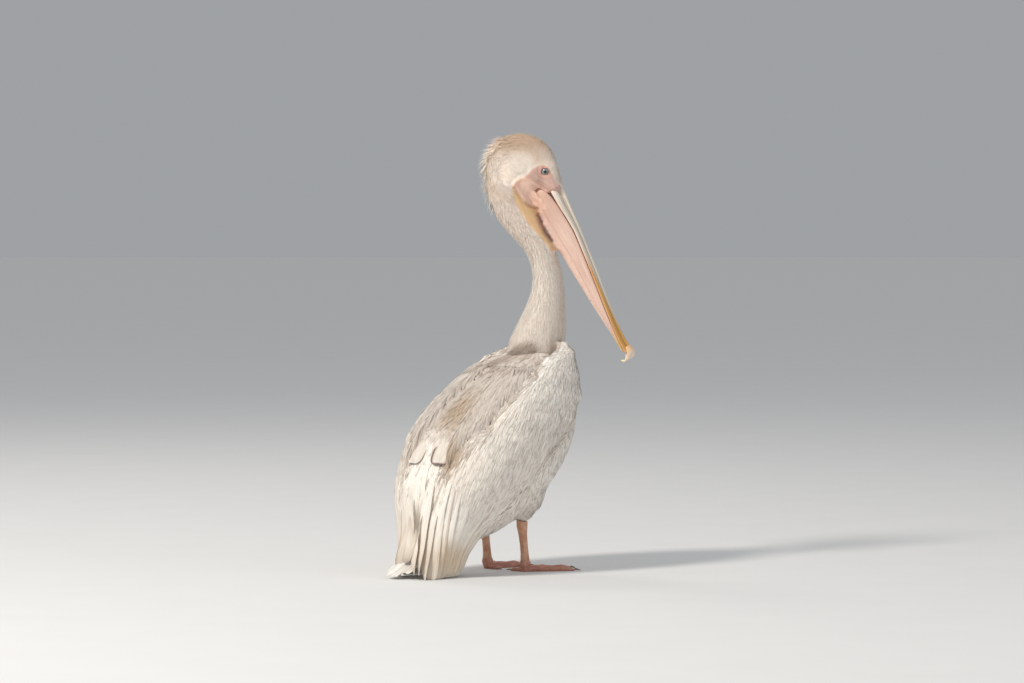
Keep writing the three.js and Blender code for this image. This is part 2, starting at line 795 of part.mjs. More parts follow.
addMesh("trunk", trunk, PLUMAGE);
addMesh("neck", neck, PLUMAGE);
addMesh("head", head, PLUMAGE);
addMesh("tail", tail, PLUMAGE);
addMesh("bill_upper", upperBill(0), BILL_HORN);
addMesh("bill_nail", solidOf(nailGeometry()), NAIL_HORN);
addMesh("bill_lower", lowerBill(0), BILL_HORN);
addMesh("pouch", pouch, POUCH_SKIN);
for (const [word, side] of [["right", -1], ["left", 1]]) {
  const wing = solidOf(wingGeometry(side));
  const thigh = solidOf(thighGeometry(side));
  addMesh(`wing_${word}`, wing.intersect(covertSide), PLUMAGE);
  addMesh(`flight_feathers_${word}`, wing.intersect(flightSide), PLUMAGE);
  addMesh(`scapulars_${word}`, solidOf(scapularGeometry(side)).subtract(wingRoom), PLUMAGE);
  addMesh(`eye_${word}`, solidOf(eyeGeometry(side)), EYE_GLOSS);
  addMesh(`thigh_${word}`, thigh.subtract(wingRoom).subtract(trunkRoom), PLUMAGE);
  addMesh(
    `leg_${word}`,
    solidOf(shankGeometry(side)).intersect(above(ANKLE_TOP + GAP)).subtract(thighRoom.add(trunkRoom)),
    LEG_SKIN,
  );
  addMesh(`foot_${word}`, footSolid(side).intersect(above(0)).intersect(below(ANKLE_TOP)), LEG_SKIN);
  for (const toe of TOES) addMesh(`claw_${word}_${toe[0]}`, solidOf(clawGeometry(side, toe)), CLAW_HORN);
}

export default group;
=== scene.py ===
# %% [markdown]
# A pelican standing on both feet with its wings folded, its head turned over the right shoulder
# and its bill pointing down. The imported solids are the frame: they give every size and place.
# What shows is made here: one skin for the whole body, feathers laid over it, and the bare bill,
# eyes, legs and feet as pieces of their own.

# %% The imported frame
import math

import bmesh
import bpy
import numpy as np
from mathutils import Matrix, Vector
from mathutils.bvhtree import BVHTree


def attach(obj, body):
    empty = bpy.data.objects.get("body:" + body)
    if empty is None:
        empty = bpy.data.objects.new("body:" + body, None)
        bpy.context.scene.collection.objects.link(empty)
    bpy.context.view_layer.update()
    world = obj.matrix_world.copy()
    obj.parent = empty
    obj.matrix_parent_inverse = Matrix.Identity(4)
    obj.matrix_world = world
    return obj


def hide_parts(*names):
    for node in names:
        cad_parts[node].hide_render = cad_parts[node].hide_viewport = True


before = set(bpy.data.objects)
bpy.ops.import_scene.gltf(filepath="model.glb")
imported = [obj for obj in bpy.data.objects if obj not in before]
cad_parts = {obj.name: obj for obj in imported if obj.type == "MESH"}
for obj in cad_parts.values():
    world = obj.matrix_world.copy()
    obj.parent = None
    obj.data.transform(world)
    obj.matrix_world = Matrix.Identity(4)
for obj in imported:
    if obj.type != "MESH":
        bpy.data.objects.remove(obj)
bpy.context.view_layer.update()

MM = 0.001
SIDES = {"right": -1, "left": 1}

# %% [markdown]
# The camera stands behind the bird's right shoulder, a little above the level of its feet. A long
# lens from far away keeps the proportions flat, as through a telescope. The lens follows from how
# much floor one point of the picture covers at the bird's distance.

# %% Camera
IMAGE_SIZE = (1024, 683)
STAND_PIXEL = (505, 570)  # where the floor between the ankles falls in the picture
PIXEL_COVERS = 2.1 * MM
SENSOR_WIDTH = 36
CAMERA_DISTANCE = 8.6
CAMERA_AZIMUTH = math.radians(-45)
CAMERA_HEIGHT_ANGLE = math.radians(5)
BETWEEN_ANKLES = Vector((0.0372, 0, 0))

to_camera = Vector((
    math.sin(CAMERA_AZIMUTH) * math.cos(CAMERA_HEIGHT_ANGLE),
    -math.cos(CAMERA_AZIMUTH) * math.cos(CAMERA_HEIGHT_ANGLE),
    math.sin(CAMERA_HEIGHT_ANGLE),
))
picture_right = Vector((math.cos(CAMERA_AZIMUTH), math.sin(CAMERA_AZIMUTH), 0))
picture_up = to_camera.cross(picture_right)
aim = (
    BETWEEN_ANKLES
    + picture_right * (IMAGE_SIZE[0] / 2 - STAND_PIXEL[0]) * PIXEL_COVERS
    + picture_up * (STAND_PIXEL[1] - IMAGE_SIZE[1] / 2) * PIXEL_COVERS
)
camera = bpy.data.objects.new("camera", bpy.data.cameras.new("camera"))
camera.location = BETWEEN_ANKLES + to_camera * CAMERA_DISTANCE
camera.rotation_euler = (aim - camera.location).to_track_quat("-Z", "Y").to_euler()
camera.data.sensor_width = SENSOR_WIDTH
camera.data.lens = SENSOR_WIDTH * CAMERA_DISTANCE / PIXEL_COVERS / IMAGE_SIZE[0]
bpy.context.scene.collection.objects.link(camera)
bpy.context.scene.camera = camera
print("lens", round(camera.data.lens, 1), "mm, camera height", round(camera.location.z, 2), "m")

# %% [markdown]
# Soft light shows plumage best: one big lamp high on the camera's left, a weak one on its right,
# a third behind the bird to draw its edge, and an even pale sky. The main lamp is slightly warm,
# so that the white plumage keeps its cream. An area lamp's softness comes from its size.

# %% Lamps
def add_lamp(name, way, distance, size, power, colour):
    data = bpy.data.lights.new(name, "AREA")
    data.shape = "DISK"
    data.size = size
    data.energy = power
    data.color = colour
    lamp = bpy.data.objects.new(name, data)
    lamp.location = aim + way.normalized() * distance
    lamp.rotation_euler = (aim - lamp.location).to_track_quat("-Z", "Y").to_euler()
    bpy.context.scene.collection.objects.link(lamp)


UP = Vector((0, 0, 1))
add_lamp("key_lamp", to_camera * 0.8 - picture_right * 0.9 + UP * 0.9, 7, 1.5, 375, (1, 0.96, 0.9))
add_lamp("fill_lamp", to_camera * 0.6 + picture_right + UP * 0.3, 5.5, 2.4, 18, (0.86, 0.92, 1))
add_lamp("rim_lamp", -to_camera - picture_right * 0.6 + UP * 1.2, 5.5, 1.6, 36, (1, 0.97, 0.93))

# %% [markdown]
# The sky lights the bird evenly from all sides. Where the camera looks straight at it, a second,
# dimmer background takes its place, as dark as the far floor, so that the horizon hardly shows. A
# Light Path node tells the two cases apart.

# %% Sky
SKY_COLOUR = (0.9, 0.93, 0.97, 1)
SKY_LIGHT = 0.52
FLOOR_SHARE = 0.74  # how much of the sky's light the floor gives back
world = bpy.data.worlds.new("sky")
bpy.context.scene.world = world
world.use_nodes = True
sky_nodes = world.node_tree.nodes
backdrop = sky_nodes.new("ShaderNodeBackground")
for background, strength in ((sky_nodes["Background"], SKY_LIGHT), (backdrop, SKY_LIGHT * FLOOR_SHARE)):
    background.inputs["Color"].default_value = SKY_COLOUR
    background.inputs["Strength"].default_value = strength
either = sky_nodes.new("ShaderNodeMixShader")
seen = sky_nodes.new("ShaderNodeLightPath")
links = world.node_tree.links
links.new(seen.outputs["Is Camera Ray"], either.inputs[0])
links.new(sky_nodes["Background"].outputs[0], either.inputs[1])
links.new(backdrop.outputs[0], either.inputs[2])
links.new(either.outputs[0], sky_nodes["World Output"].inputs["Surface"])
bpy.context.scene.view_settings.view_transform = "Standard"
print("sky:", SKY_LIGHT, "behind the bird:", round(backdrop.inputs["Strength"].default_value, 3))

# %% [markdown]
# Materials are written as sums. A small class wraps one socket of a material, and arithmetic on it
# adds Math nodes, so that `1 - mask * 0.4` reads as it would on paper.

# %% Numbers in a material
class Number:
    """A number in a material. Arithmetic on it adds Math nodes."""

    def __init__(self, paint, socket):
        self.paint = paint
        self.socket = socket

    def math(self, operation, *inputs):
        return self.paint.node("Math", {"operation": operation}, dict(enumerate(inputs)))

    def __add__(self, other):
        return self.math("ADD", self, other)

    def __sub__(self, other):
        return self.math("SUBTRACT", self, other)

    def __rsub__(self, other):
        return self.math("SUBTRACT", other, self)

    def __mul__(self, other):
        return self.math("MULTIPLY", self, other)

    def __abs__(self):
        return self.math("ABSOLUTE", self)

    __radd__ = __add__
    __rmul__ = __mul__

    def or_more(self, other):
        """The larger of two numbers."""
        return self.math("MAXIMUM", self, other)

    def between(self, low, high):
        """0 at low, 1 at high, smooth in between."""
        return self.paint.node(
            "MapRange", {"interpolation_type": "SMOOTHSTEP"}, {"Value": self, 1: low, 2: high}
        )


# %% [markdown]
# Another class holds a material on the Principled shader. Constants go straight on the shader's
# sockets, one method adds any node, and the others are short names for the nodes used most.

# %% A material
class Paint:
    """A material on the Principled shader."""

    def __init__(self, name, **constants):
        self.material = bpy.data.materials.new(name)
        self.material.use_nodes = True
        self.tree = self.material.node_tree
        self.shader = self.tree.nodes["Principled BSDF"]
        for socket, value in constants.items():
            self.shader.inputs[socket.replace("_", " ")].default_value = value

    def feed(self, socket, value):
        if isinstance(value, Number):
            self.tree.links.new(value.socket, socket)
        else:
            socket.default_value = value

    def node(self, kind, settings=(), inputs=(), out=0):
        made = self.tree.nodes.new("ShaderNode" + kind)
        for name, value in dict(settings).items():
            setattr(made, name, value)
        for name, value in dict(inputs).items():
            self.feed(made.inputs[name], value)
        return Number(self, made.outputs[out])

    def mix(self, share, a, b, blend="MIX"):
        return self.node("Mix", {"data_type": "RGBA", "blend_type": blend}, {0: share, 6: a, 7: b}, 2)

    def parts(self, kind, value):
        """The three numbers that make up a colour or a vector."""
        first = self.node(kind, {}, {0: value})
        return [Number(self, socket) for socket in first.socket.node.outputs]

    def along_and_round(self):
        """How far along and how far round a rolled piece each point lies, from its own UV map."""
        return self.parts("SeparateXYZ", self.node("UVMap", {"uv_map": "Run"}))[:2]

    def place(self):
        return self.node("TexCoord", out="Object")

    def stretched(self, vector, scale):
        return self.node("Mapping", {}, {"Vector": vector, "Scale": scale})

    def noise(self, vector, scale, detail=3, roughness=0.55):
        inputs = {"Vector": vector, "Scale": scale, "Detail": detail, "Roughness": roughness}
        return self.node("TexNoise", {}, inputs)

    def attribute(self, name, out="Fac"):
        return self.node("Attribute", {"attribute_name": name}, out=out)

    def finish(self, colour, roughness=None, height=None, bump=0.5, reach=0.001):
        self.feed(self.shader.inputs["Base Color"], colour)
        if roughness is not None:
            self.feed(self.shader.inputs["Roughness"], roughness)
        if height is not None:
            inputs = {"Height": height, "Strength": bump, "Distance": reach}
            self.feed(self.shader.inputs["Normal"], self.node("Bump", {}, inputs))
        return self.material


def rgb(red, green, blue):
    """A colour from its usual 0 to 255 values, each above 10."""
    return (*[((part / 255 + 0.055) / 1.055) ** 2.4 for part in (red, green, blue)], 1)


# %% [markdown]
# The floor is one wide pale disk.

# %% Floor
floor_paint = Paint("pale_floor", Roughness=0.9)
floor_grain = floor_paint.noise(floor_paint.place(), 6)
floor_look = floor_paint.finish(
    floor_paint.mix(floor_grain, rgb(221, 220, 218), rgb(226, 225, 223)), None, floor_grain, 0.05
)
FLOOR_RADIUS = 60
bm = bmesh.new()
bmesh.ops.create_circle(bm, cap_ends=True, segments=96, radius=FLOOR_RADIUS)
floor_mesh = bpy.data.meshes.new("floor")
bm.to_mesh(floor_mesh)
bm.free()
floor = bpy.data.objects.new("floor", floor_mesh)
floor_mesh.materials.append(floor_look)
bpy.context.scene.collection.objects.link(floor)
print("floor:", FLOOR_RADIUS, "m round")

# %% [markdown]
# Head, face and bill have a frame of their own, between the eyes: x ahead along the bill, y to
# the bird's left and z out of its forehead. Head shapes and markings are given in it, in
# millimetres.

# %% The head's own frame
FACE_CENTRE = Vector((0.1503, -0.0085, 0.842))
HEAD_YAW = math.radians(-45)
BILL_PITCH = math.radians(64)
HEAD_ROLL = math.radians(8)
head_frame = (
    Matrix.Translation(FACE_CENTRE)
    @ Matrix.Rotation(HEAD_YAW, 4, "Z")
    @ Matrix.Rotation(BILL_PITCH, 4, "Y")
    @ Matrix.Rotation(HEAD_ROLL, 4, "X")
)
HEAD = np.array(head_frame)
TO_HEAD = np.array(head_frame.inverted())
HEAD_AHEAD, HEAD_OUT = HEAD[:3, 0], HEAD[:3, 2]


def in_head(points):
    return (points @ TO_HEAD[:3, :3].T + TO_HEAD[:3, 3]) / MM


def from_head(points):
    return np.asarray(points) * MM @ HEAD[:3, :3].T + HEAD[:3, 3]


def ease(x, low, high):
    """0 at low, 1 at high, smooth in between, for arrays."""
    t = np.clip((x - low) / (high - low), 0, 1)
    return t * t * (3 - 2 * t)


def hill(distance, width):
    """1 at no distance, falling away like a bell over the width."""
    return np.exp(-((distance / width) ** 2))


def along(x, *rows):
    """Values read off a short table, its rows sorted by their first column."""
    table = np.array(rows, float)
    values = [np.interp(x, table[:, 0], column) for column in table.T[1:]]
    return values[0] if len(values) == 1 else np.stack(values, -1)


print("the bill points", HEAD_AHEAD.round(2), "and the forehead", HEAD_OUT.round(2))

# %% [markdown]
# A bird's skin is one closed surface with no seams. The solids of the fleshy parts are joined and
# remeshed in small cubes, which closes the thin gaps between them. A boolean union could join them
# too, but would leave sharp seams. The remesh can leave a speck beside the body, which is dropped.

# %% Helpers for joining solids


def solid_copy(*names):
    """The solids of some nodes in one mesh, with each face numbered by its node."""
    bm = bmesh.new()
    for number, name in enumerate(names):
        first = len(bm.faces)
        bm.from_mesh(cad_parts[name].data)
        bm.faces.ensure_lookup_table()
        for face in bm.faces[first:]:
            face.material_index = number
    bmesh.ops.remove_doubles(bm, verts=bm.verts, dist=1e-5)
    return bm


def link_mesh(name, mesh):
    piece = bpy.data.objects.new(name, mesh)
    bpy.context.scene.collection.objects.link(piece)
    return piece


def mesh_of(name, bm):
    mesh = bpy.data.meshes.new(name)
    bm.to_mesh(mesh)
    bm.free()
    return mesh


def with_modifiers_applied(piece):
    graph = bpy.context.evaluated_depsgraph_get()
    mesh = bpy.data.meshes.new_from_object(piece.evaluated_get(graph))
    old = piece.data
    piece.modifiers.clear()
    piece.data = mesh
    bpy.data.meshes.remove(old)
    return piece


def remeshed(name, bm, voxel, grow=0.0):
    for vert in bm.verts:
        vert.co += vert.normal * grow
    piece = link_mesh(name, mesh_of(name, bm))
    weld = piece.modifiers.new("weld", "REMESH")
    weld.mode = "VOXEL"
    weld.voxel_size = voxel
    return with_modifiers_applied(piece)


def without_specks(mesh):
    """Keeps the largest connected part, as a remesh can leave specks beside it."""
    bm = bmesh.new()
    bm.from_mesh(mesh)
    left, parts = set(bm.verts), []
    while left:
        part, front = set(), [left.pop()]
        while front:
            vert = front.pop()
            part.add(vert)
            near = {edge.other_vert(vert) for edge in vert.link_edges} & left
            left -= near
            front += near
        parts.append(part)
    parts.sort(key=len)
    bmesh.ops.delete(bm, geom=[vert for part in parts[:-1] for vert in part], context="VERTS")
    bm.to_mesh(mesh)
    bm.free()


# %% [markdown]
# The copy of each solid keeps the number of its node on every face, so that any place on the skin
# can be asked later which part of the bird it belongs to.

# %% Joining the flesh
FLESH = ["trunk", "neck", "head", "pouch"]
PAIRED = ["wing", "flight_feathers", "scapulars", "thigh"]
FLESH += [f"{part}_{side}" for side in SIDES for part in PAIRED]
SKIN_VOXEL = 4.1 * MM
GAP_FILL = 0.35 * MM  # each solid is grown by this before joining, as thin gaps part them

flesh = solid_copy(*FLESH)
flesh_tree = BVHTree.FromBMesh(flesh)
flesh.faces.ensure_lookup_table()
node_of_face = np.array([face.material_index for face in flesh.faces])
skin = remeshed("skin", flesh, SKIN_VOXEL, GAP_FILL)
without_specks(skin.data)
print("skin after joining:", len(skin.data.vertices), "points")

# %% [markdown]
# The skin is shaped as arrays of numbers, one row to a point, because that is fast for tens of
# thousands of points. Smoothing takes a step in and a slightly larger step out, which relaxes a
# surface without shrinking it.

# %% Arrays of a mesh's points
def points_of(mesh):
    flat = np.empty(len(mesh.vertices) * 3, np.float32)
    mesh.vertices.foreach_get("co", flat)
    return flat.reshape(-1, 3).astype(float)


def normals_of(mesh):
    flat = np.empty(len(mesh.vertices) * 3, np.float32)
    mesh.vertex_normals.foreach_get("vector", flat)
    return flat.reshape(-1, 3).astype(float)


def move_points(mesh, points):
    mesh.vertices.foreach_set("co", points.astype(np.float32).ravel())
    mesh.update()


def neighbour_mean(mesh):
    """A function that averages each point's neighbours, for values one to a point."""
    ends = np.empty(len(mesh.edges) * 2, np.int32)
    mesh.edges.foreach_get("vertices", ends)
    a, b = ends.reshape(-1, 2).T
    near, far = np.concatenate([a, b]), np.concatenate([b, a])
    count = np.maximum(np.bincount(near, minlength=len(mesh.vertices)), 1)

    def mean(values):
        values = values.reshape(len(values), -1)
        sums = [np.bincount(near, column[far], len(values)) / count for column in values.T]
        return np.stack(sums, -1)

    return mean


def smoothed(mesh, points, rounds, weight=1.0):
    """Points relaxed without shrinking the form: a step in, then a slightly larger step out."""
    mean = neighbour_mean(mesh)
    weight = np.broadcast_to(np.reshape(weight, (-1, 1)), (len(points), 1))
    for _ in range(rounds):
        for step in (0.5, -0.52):
            points = points + step * weight * (mean(points) - points)
    return points


def nearest_flesh(points):
    """The number in FLESH of the solid that is nearest to each point."""
    found = [flesh_tree.find_nearest(Vector(p))[2] for p in points]
    return node_of_face[np.array(found)]



# %% [markdown]
# The skin is smoothed and made finer where the detail is, round the face and the throat. Plumage
# is deeper on the body than on the face, so each part has a depth of its own, by which the skin is
# drawn inwards later. Feather tips then reach the solids' outline.

# %% A finer head, and the depth of the plumage
def finer(mesh, chosen):
    """Cuts the faces between chosen points in four."""
    bm = bmesh.new()
    bm.from_mesh(mesh)
    edges = [edge for edge in bm.edges if chosen[edge.verts[0].index] and chosen[edge.verts[1].index]]
    bmesh.ops.subdivide_edges(bm, edges=edges, cuts=1, use_grid_fill=True)
    bm.to_mesh(mesh)
    bm.free()


skin.data.materials.clear()
at = points_of(skin.data)
at = smoothed(skin.data, at, 18)
move_points(skin.data, at)
head_at = in_head(at)
around_head = (at[:, 2] > 0.755) | ((head_at[:, 0] > -30) & (at[:, 2] > 0.46) & (head_at[:, 2] > -100))
finer(skin.data, around_head)
at = points_of(skin.data)
at = smoothed(skin.data, at, 4)
move_points(skin.data, at)
label = nearest_flesh(at)
NUMBER = {name: number for number, name in enumerate(FLESH)}


def is_part(labels, *starts):
    """True where the nearest solid is one whose name begins so."""
    return np.isin(labels, [number for name, number in NUMBER.items() if name.startswith(starts)])


# depth of the plumage over the skin of each part, in millimetres
COAT_DEPTH = {"trunk": 5, "neck": 3.5, "head": 2.6, "pouch": 3}
COAT_DEPTH |= {"wing": 4, "flight": 2.6, "scapulars": 4.5, "thigh": 4}
depth = np.zeros(len(at))
for start, coat in COAT_DEPTH.items():
    depth[is_part(label, start)] = coat
print("finer skin:", len(at), "points, mean plumage", round(depth.mean(), 1), "mm deep")

# %% [markdown]
# Markings and folds of the head are drawn as lines and outlines in its side view, in the head's
# own x and z. Two measures serve them all: how far a point lies from a line, and how far it lies
# inside an outline.

# %% Lines and outlines on the head
def from_line(x, z, corners):
    """Distance of each point from a line through corners."""
    nearest = np.full(len(x), np.inf)
    for (ax, az), (bx, bz) in zip(corners[:-1], corners[1:]):
        dx, dz = bx - ax, bz - az
        t = np.clip(((x - ax) * dx + (z - az) * dz) / (dx * dx + dz * dz), 0, 1)
        nearest = np.minimum(nearest, np.hypot(x - ax - t * dx, z - az - t * dz))
    return nearest


def inside(x, z, corners):
    """How far each point lies inside an outline, negative outside it."""
    closed = [*corners, corners[0]]
    within = np.zeros(len(x), bool)
    for (ax, az), (bx, bz) in zip(closed[:-1], closed[1:]):
        if az != bz:
            within ^= ((az > z) != (bz > z)) & (x < ax + (z - az) * (bx - ax) / (bz - az))
    return np.where(within, 1, -1) * from_line(x, z, closed)



# %% [markdown]
# Bare skin shows on the face, round the eyes, on the cheek's broad fold, the upper throat and the
# pouch under the bill. Everything else is feathered.

# %% Where the skin is bare
BARE = [(2, -76), (-5, -66), (-7, -54), (-3, -43), (-7, -32), (-12, -20), (-12, -8), (-8, 3), (0, 8)]
BARE += [(14, 9), (27, 10), (40, 12), (50, 17), (58, 26), (75, 50), (166, 60), (168, -50), (160, -61)]
BARE += [(128, -69), (87, -80), (49, -84), (20, -84)]


def bare_share(points, labels):
    """1 on bare skin and 0 under feathers."""
    x, _, z = in_head(points).T
    on_face = ease(inside(x, z, BARE), -1.2, 1.2) * is_part(labels, "head", "neck", "pouch")
    under_bill = np.maximum(ease(x, 162, 168), ease(x, 110, 120) * ease(z, -66, -62))
    return np.maximum(on_face, is_part(labels, "pouch") * under_bill)


mean_of = neighbour_mean(skin.data)


def blurred(values, rounds):
    values = np.asarray(values, float)
    for _ in range(rounds):
        values = mean_of(values)[:, 0]
    return values


BARE_DEPTH = 0.2  # millimetres that bare skin is drawn in
bare = blurred(bare_share(at, label), 2)
depth = blurred(depth * (1 - bare) + BARE_DEPTH * bare, 8)
print("bare skin:", round(100 * float(bare.mean()), 1), "% of the points")

# %% [markdown]
# The cheek is a broad bare fold that runs into the lower bill, with a slit of shade where the throat
# tucks in under it. Its outline and the creases round it are given as lines in the side view, so
# that the same lines can press the surface in here and darken it with painted shade later.

# %% The cheek's fold and the creases
CHEEK = [(2, -76), (-5, -66), (-8, -54), (-4, -43), (2, -38), (10, -33), (22, -26), (46, -15), (75, -8)]
CHEEK += [(103, -4.5), (140, -3), (200, -7), (200, -60), (168, -52), (149, -53), (122, -57), (88, -57)]
CHEEK += [(69, -50), (59, -59), (42, -67), (18, -70)]
THROAT_SLIT = [(82, -55), (100, -57.5), (122, -57.5), (142, -54)]
# depth and width of each crease, and its line in the head's side view
CREASES = [
    (1.6, 3.2, THROAT_SLIT),
    (2.4, 2.2, [(8, -72), (20, -71), (42, -68), (58, -61), (69, -51), (80, -54)]),
    (1.8, 2.2, [(-2, -41), (8, -35), (22, -26), (46, -14), (60, -10)]),
    (1.1, 1.8, [(-7, -10), (2, -15.5), (14, -14.5), (24, -8)]),
    (1.2, 1.8, [(18, -21), (34, -12), (50, -5)]),
    (0.9, 1.6, [(26, -4), (40, 2), (50, 7)]),
]
print("creases:", len(CREASES), "deepest", max(depth for depth, width, line in CREASES), "mm")

# %% [markdown]
# Folded wings lie on the body with a groove along their upper edge, against the shoulder feathers,
# and a crease under their lower edge. Both are given as paths in space for the left side.

# %% Grooves along the wings
WING_GROOVE = [(0.0596, 0.0982, 0.4404), (-0.0296, 0.1105, 0.3832), (-0.0699, 0.107, 0.3534)]
WING_GROOVE += [(-0.1164, 0.1101, 0.312), (-0.1567, 0.0809, 0.2817), (-0.1843, 0.0682, 0.2454)]
WING_GROOVE += [(-0.1994, 0.0603, 0.213), (-0.2095, 0.0589, 0.1827), (-0.2146, 0.0465, 0.1414)]
WING_LOW_EDGE = [(0.062, 0.156, 0.33), (0.04, 0.152, 0.279), (-0.003, 0.145, 0.222)]
WING_LOW_EDGE += [(-0.057, 0.123, 0.158)]
# depth and width of each, and its path
WING_FOLDS = [(7, 8, WING_GROOVE), (7, 6, WING_LOW_EDGE)]


def from_path(points, corners):
    """Distance in millimetres of each point from a path through corners in space."""
    nearest = np.full(len(points), np.inf)
    for start, end in zip(corners[:-1], corners[1:]):
        start, run = np.array(start), np.array(end) - np.array(start)
        t = np.clip((points - start) @ run / (run @ run), 0, 1)
        nearest = np.minimum(nearest, np.linalg.norm(points - start - t[:, None] * run, axis=1))
    return nearest / MM


# %% [markdown]
# Wings and shoulder feathers are layers with soft but clear borders. The step at a border is made
# from the part's own mask: the mask less its blurred self is positive just inside the border and
# negative just outside, which lifts one side and sinks the other. The fold of the cheek is raised
# in the same way. All steps and creases are summed first, in millimetres, and then the points move
# along their normals once.

# %% Shaping the skin
WING_STEP = 20
SHOULDER_STEP = 13
STEP_BLUR = 34
CHEEK_STEP = 7
CHEEK_BLUR = 14
SLIT_REACH = 7  # millimetres round the throat's slit that are smoothed once more


def border_step(mask, height, rounds):
    sharp = blurred(mask, 2)
    return height * (sharp - blurred(sharp, rounds))


wings = is_part(label, "wing", "flight") * 1.0
shoulders = is_part(label, "scapulars") * 1.0
relief = border_step(wings, WING_STEP, STEP_BLUR) * ease(at[:, 2], 0.2, 0.3)
relief += border_step(shoulders, SHOULDER_STEP, STEP_BLUR)
mirrored = np.abs(at * [0, 1, 0]) + at * [1, 0, 1]
for fold_depth, fold_width, fold in WING_FOLDS:
    relief -= fold_depth * hill(from_path(mirrored, fold), fold_width)
side_x, _, side_z = in_head(at).T
of_head = is_part(label, "head", "neck", "pouch") & (side_z > -100) & (side_x < 210) & (side_x > -30)
cheek_step = border_step(ease(inside(side_x, side_z, CHEEK), -2, 2) * of_head, CHEEK_STEP, CHEEK_BLUR)
relief += of_head * cheek_step * ease(-side_x, -185, -140)
for crease_depth, crease_width, crease_line in CREASES:
    relief -= of_head * crease_depth * hill(from_line(side_x, side_z, crease_line), crease_width)
at = at + normals_of(skin.data) * ((relief - depth) * MM)[:, None]
at = smoothed(skin.data, at, 3, np.where(of_head, 1, 0.4))
in_slit = hill(from_line(side_x, side_z, THROAT_SLIT), SLIT_REACH) * of_head
at = smoothed(skin.data, at, 14, in_slit)
print("steps and creases:", relief.min().round(1), "to", relief.max().round(1), "mm")

# %% [markdown]
# The skin narrows where the bill begins, so that the horn lies over it with no gap.

# %% Under the bill's horn
tucked = in_head(at)
tuck = ease(tucked[:, 0], 44, 58) * (tucked[:, 2] > -22) * is_part(label, "head")
tucked[:, 1] *= 1 - 0.4 * tuck
tucked[:, 2] = 1 + (tucked[:, 2] - 1) * (1 - 0.4 * tuck)
at = np.where(tuck[:, None] > 0, from_head(tucked), at)
move_points(skin.data, at)
skin_normals = normals_of(skin.data)
print("skin:", len(at), "points,", int((tuck > 0).sum()), "of them tucked under the bill")

# %% [markdown]
# Colour is worked out by place, by one function for the skin and for every feather over it, so
# that both always carry the same markings. The neck and head are peach cream with a tan crown, the
# back is greyer near the neck, the hollow of the back is tan and the wings are warm white. Painted
# shade darkens the hollow of the back, greys the left wing and lays a grey line along the right
# wing's groove, and painted light whitens a patch low on the right wing. Each marking is a share
# from 0 to 1 and a colour, laid over those before it.

# %% Colours
def tint(*values):
    return np.array(rgb(*values)[:3])


PEACH = tint(250, 233, 218)
CROWN_TAN = tint(200, 170, 141)
EAR_CREAM = tint(242, 232, 220)
NECK_PALE = tint(252, 241, 229)
WARM_WHITE = tint(246, 239, 229)
BRIGHT_WHITE = tint(247, 242, 233)
MANTLE_GREY = tint(176, 159, 144)
# a tan darkened as painted shade, for the hollow of the back and a patch by the right wing
TAN_AND_PAINTED_SHADE = tint(176, 152, 125)
SHOULDER_GREY = tint(196, 184, 172)
WING_GREY = tint(238, 229, 217)
STAIN_YELLOW = tint(206, 176, 132)
STREAK_BROWN = tint(132, 108, 90)
FACE_PINK = tint(204, 169, 155)
RING_PINK = tint(224, 168, 148)
THROAT_TAN = tint(222, 184, 134)
CHEEK_PINK = tint(236, 198, 176)
POUCH_PINK = tint(238, 206, 190)
PAINTED_SLIT_SHADE = tint(70, 46, 38)
print("warm white:", WARM_WHITE.round(2), "mantle grey:", MANTLE_GREY.round(2))


def spot(points, centre, *radii):
    """1 at a centre, fading to 0 at one radius or at three along the axes."""
    away = (points - np.array(centre)) / np.array(radii if len(radii) == 3 else radii * 3)
    return ease(-np.linalg.norm(away, axis=1), -1, -0.25)


def blend(colours, share, other):
    return colours + np.reshape(share, (-1, 1)) * (other - colours)


def layered(base, layers):
    """Colours laid over a base colour one after another, each by its share."""
    colours = np.tile(base, (len(layers[0][0]), 1))
    for share, colour in layers:
        colours = blend(colours, share, colour)
    return colours


# %% [markdown]
# A few feathers carry brown streaks, and a soft brown band lies at the foot of the neck, where it
# meets the back. Each is a path in space with a half width in millimetres and a strength.

# %% Brown streaks
STREAKS = [
    (3, 0.5, [(-0.2158, -0.0418, 0.175), (-0.2167, -0.0398, 0.14)]),
    (4, 0.75, [(-0.1965, -0.018, 0.232), (-0.2, -0.022, 0.206)]),
    (3.5, 0.6, [(-0.19, -0.072, 0.222), (-0.197, -0.076, 0.196)]),
    (4, 0.5, [(-0.116, -0.108, 0.312), (-0.135, -0.1, 0.298)]),
    (3.5, 0.4, [(0.012, -0.15, 0.25), (0.0, -0.15, 0.236)]),
    (3.5, 0.4, [(-0.083, -0.137, 0.196), (-0.09, -0.134, 0.18)]),
    # a soft brown band at the foot of the neck, where it meets the back
    (20, 0.65, [
        (0.029, 0.0156, 0.436), (0.054, 0.017, 0.446),
        (0.0704, 0.0035, 0.4565), (0.0835, -0.0278, 0.463),
    ]),
]
# the right wing's groove, along which a grey line of painted shade is laid
RIGHT_GROOVE = np.array(WING_GROOVE) * [1, -1, 1]
print("streaks:", len(STREAKS))
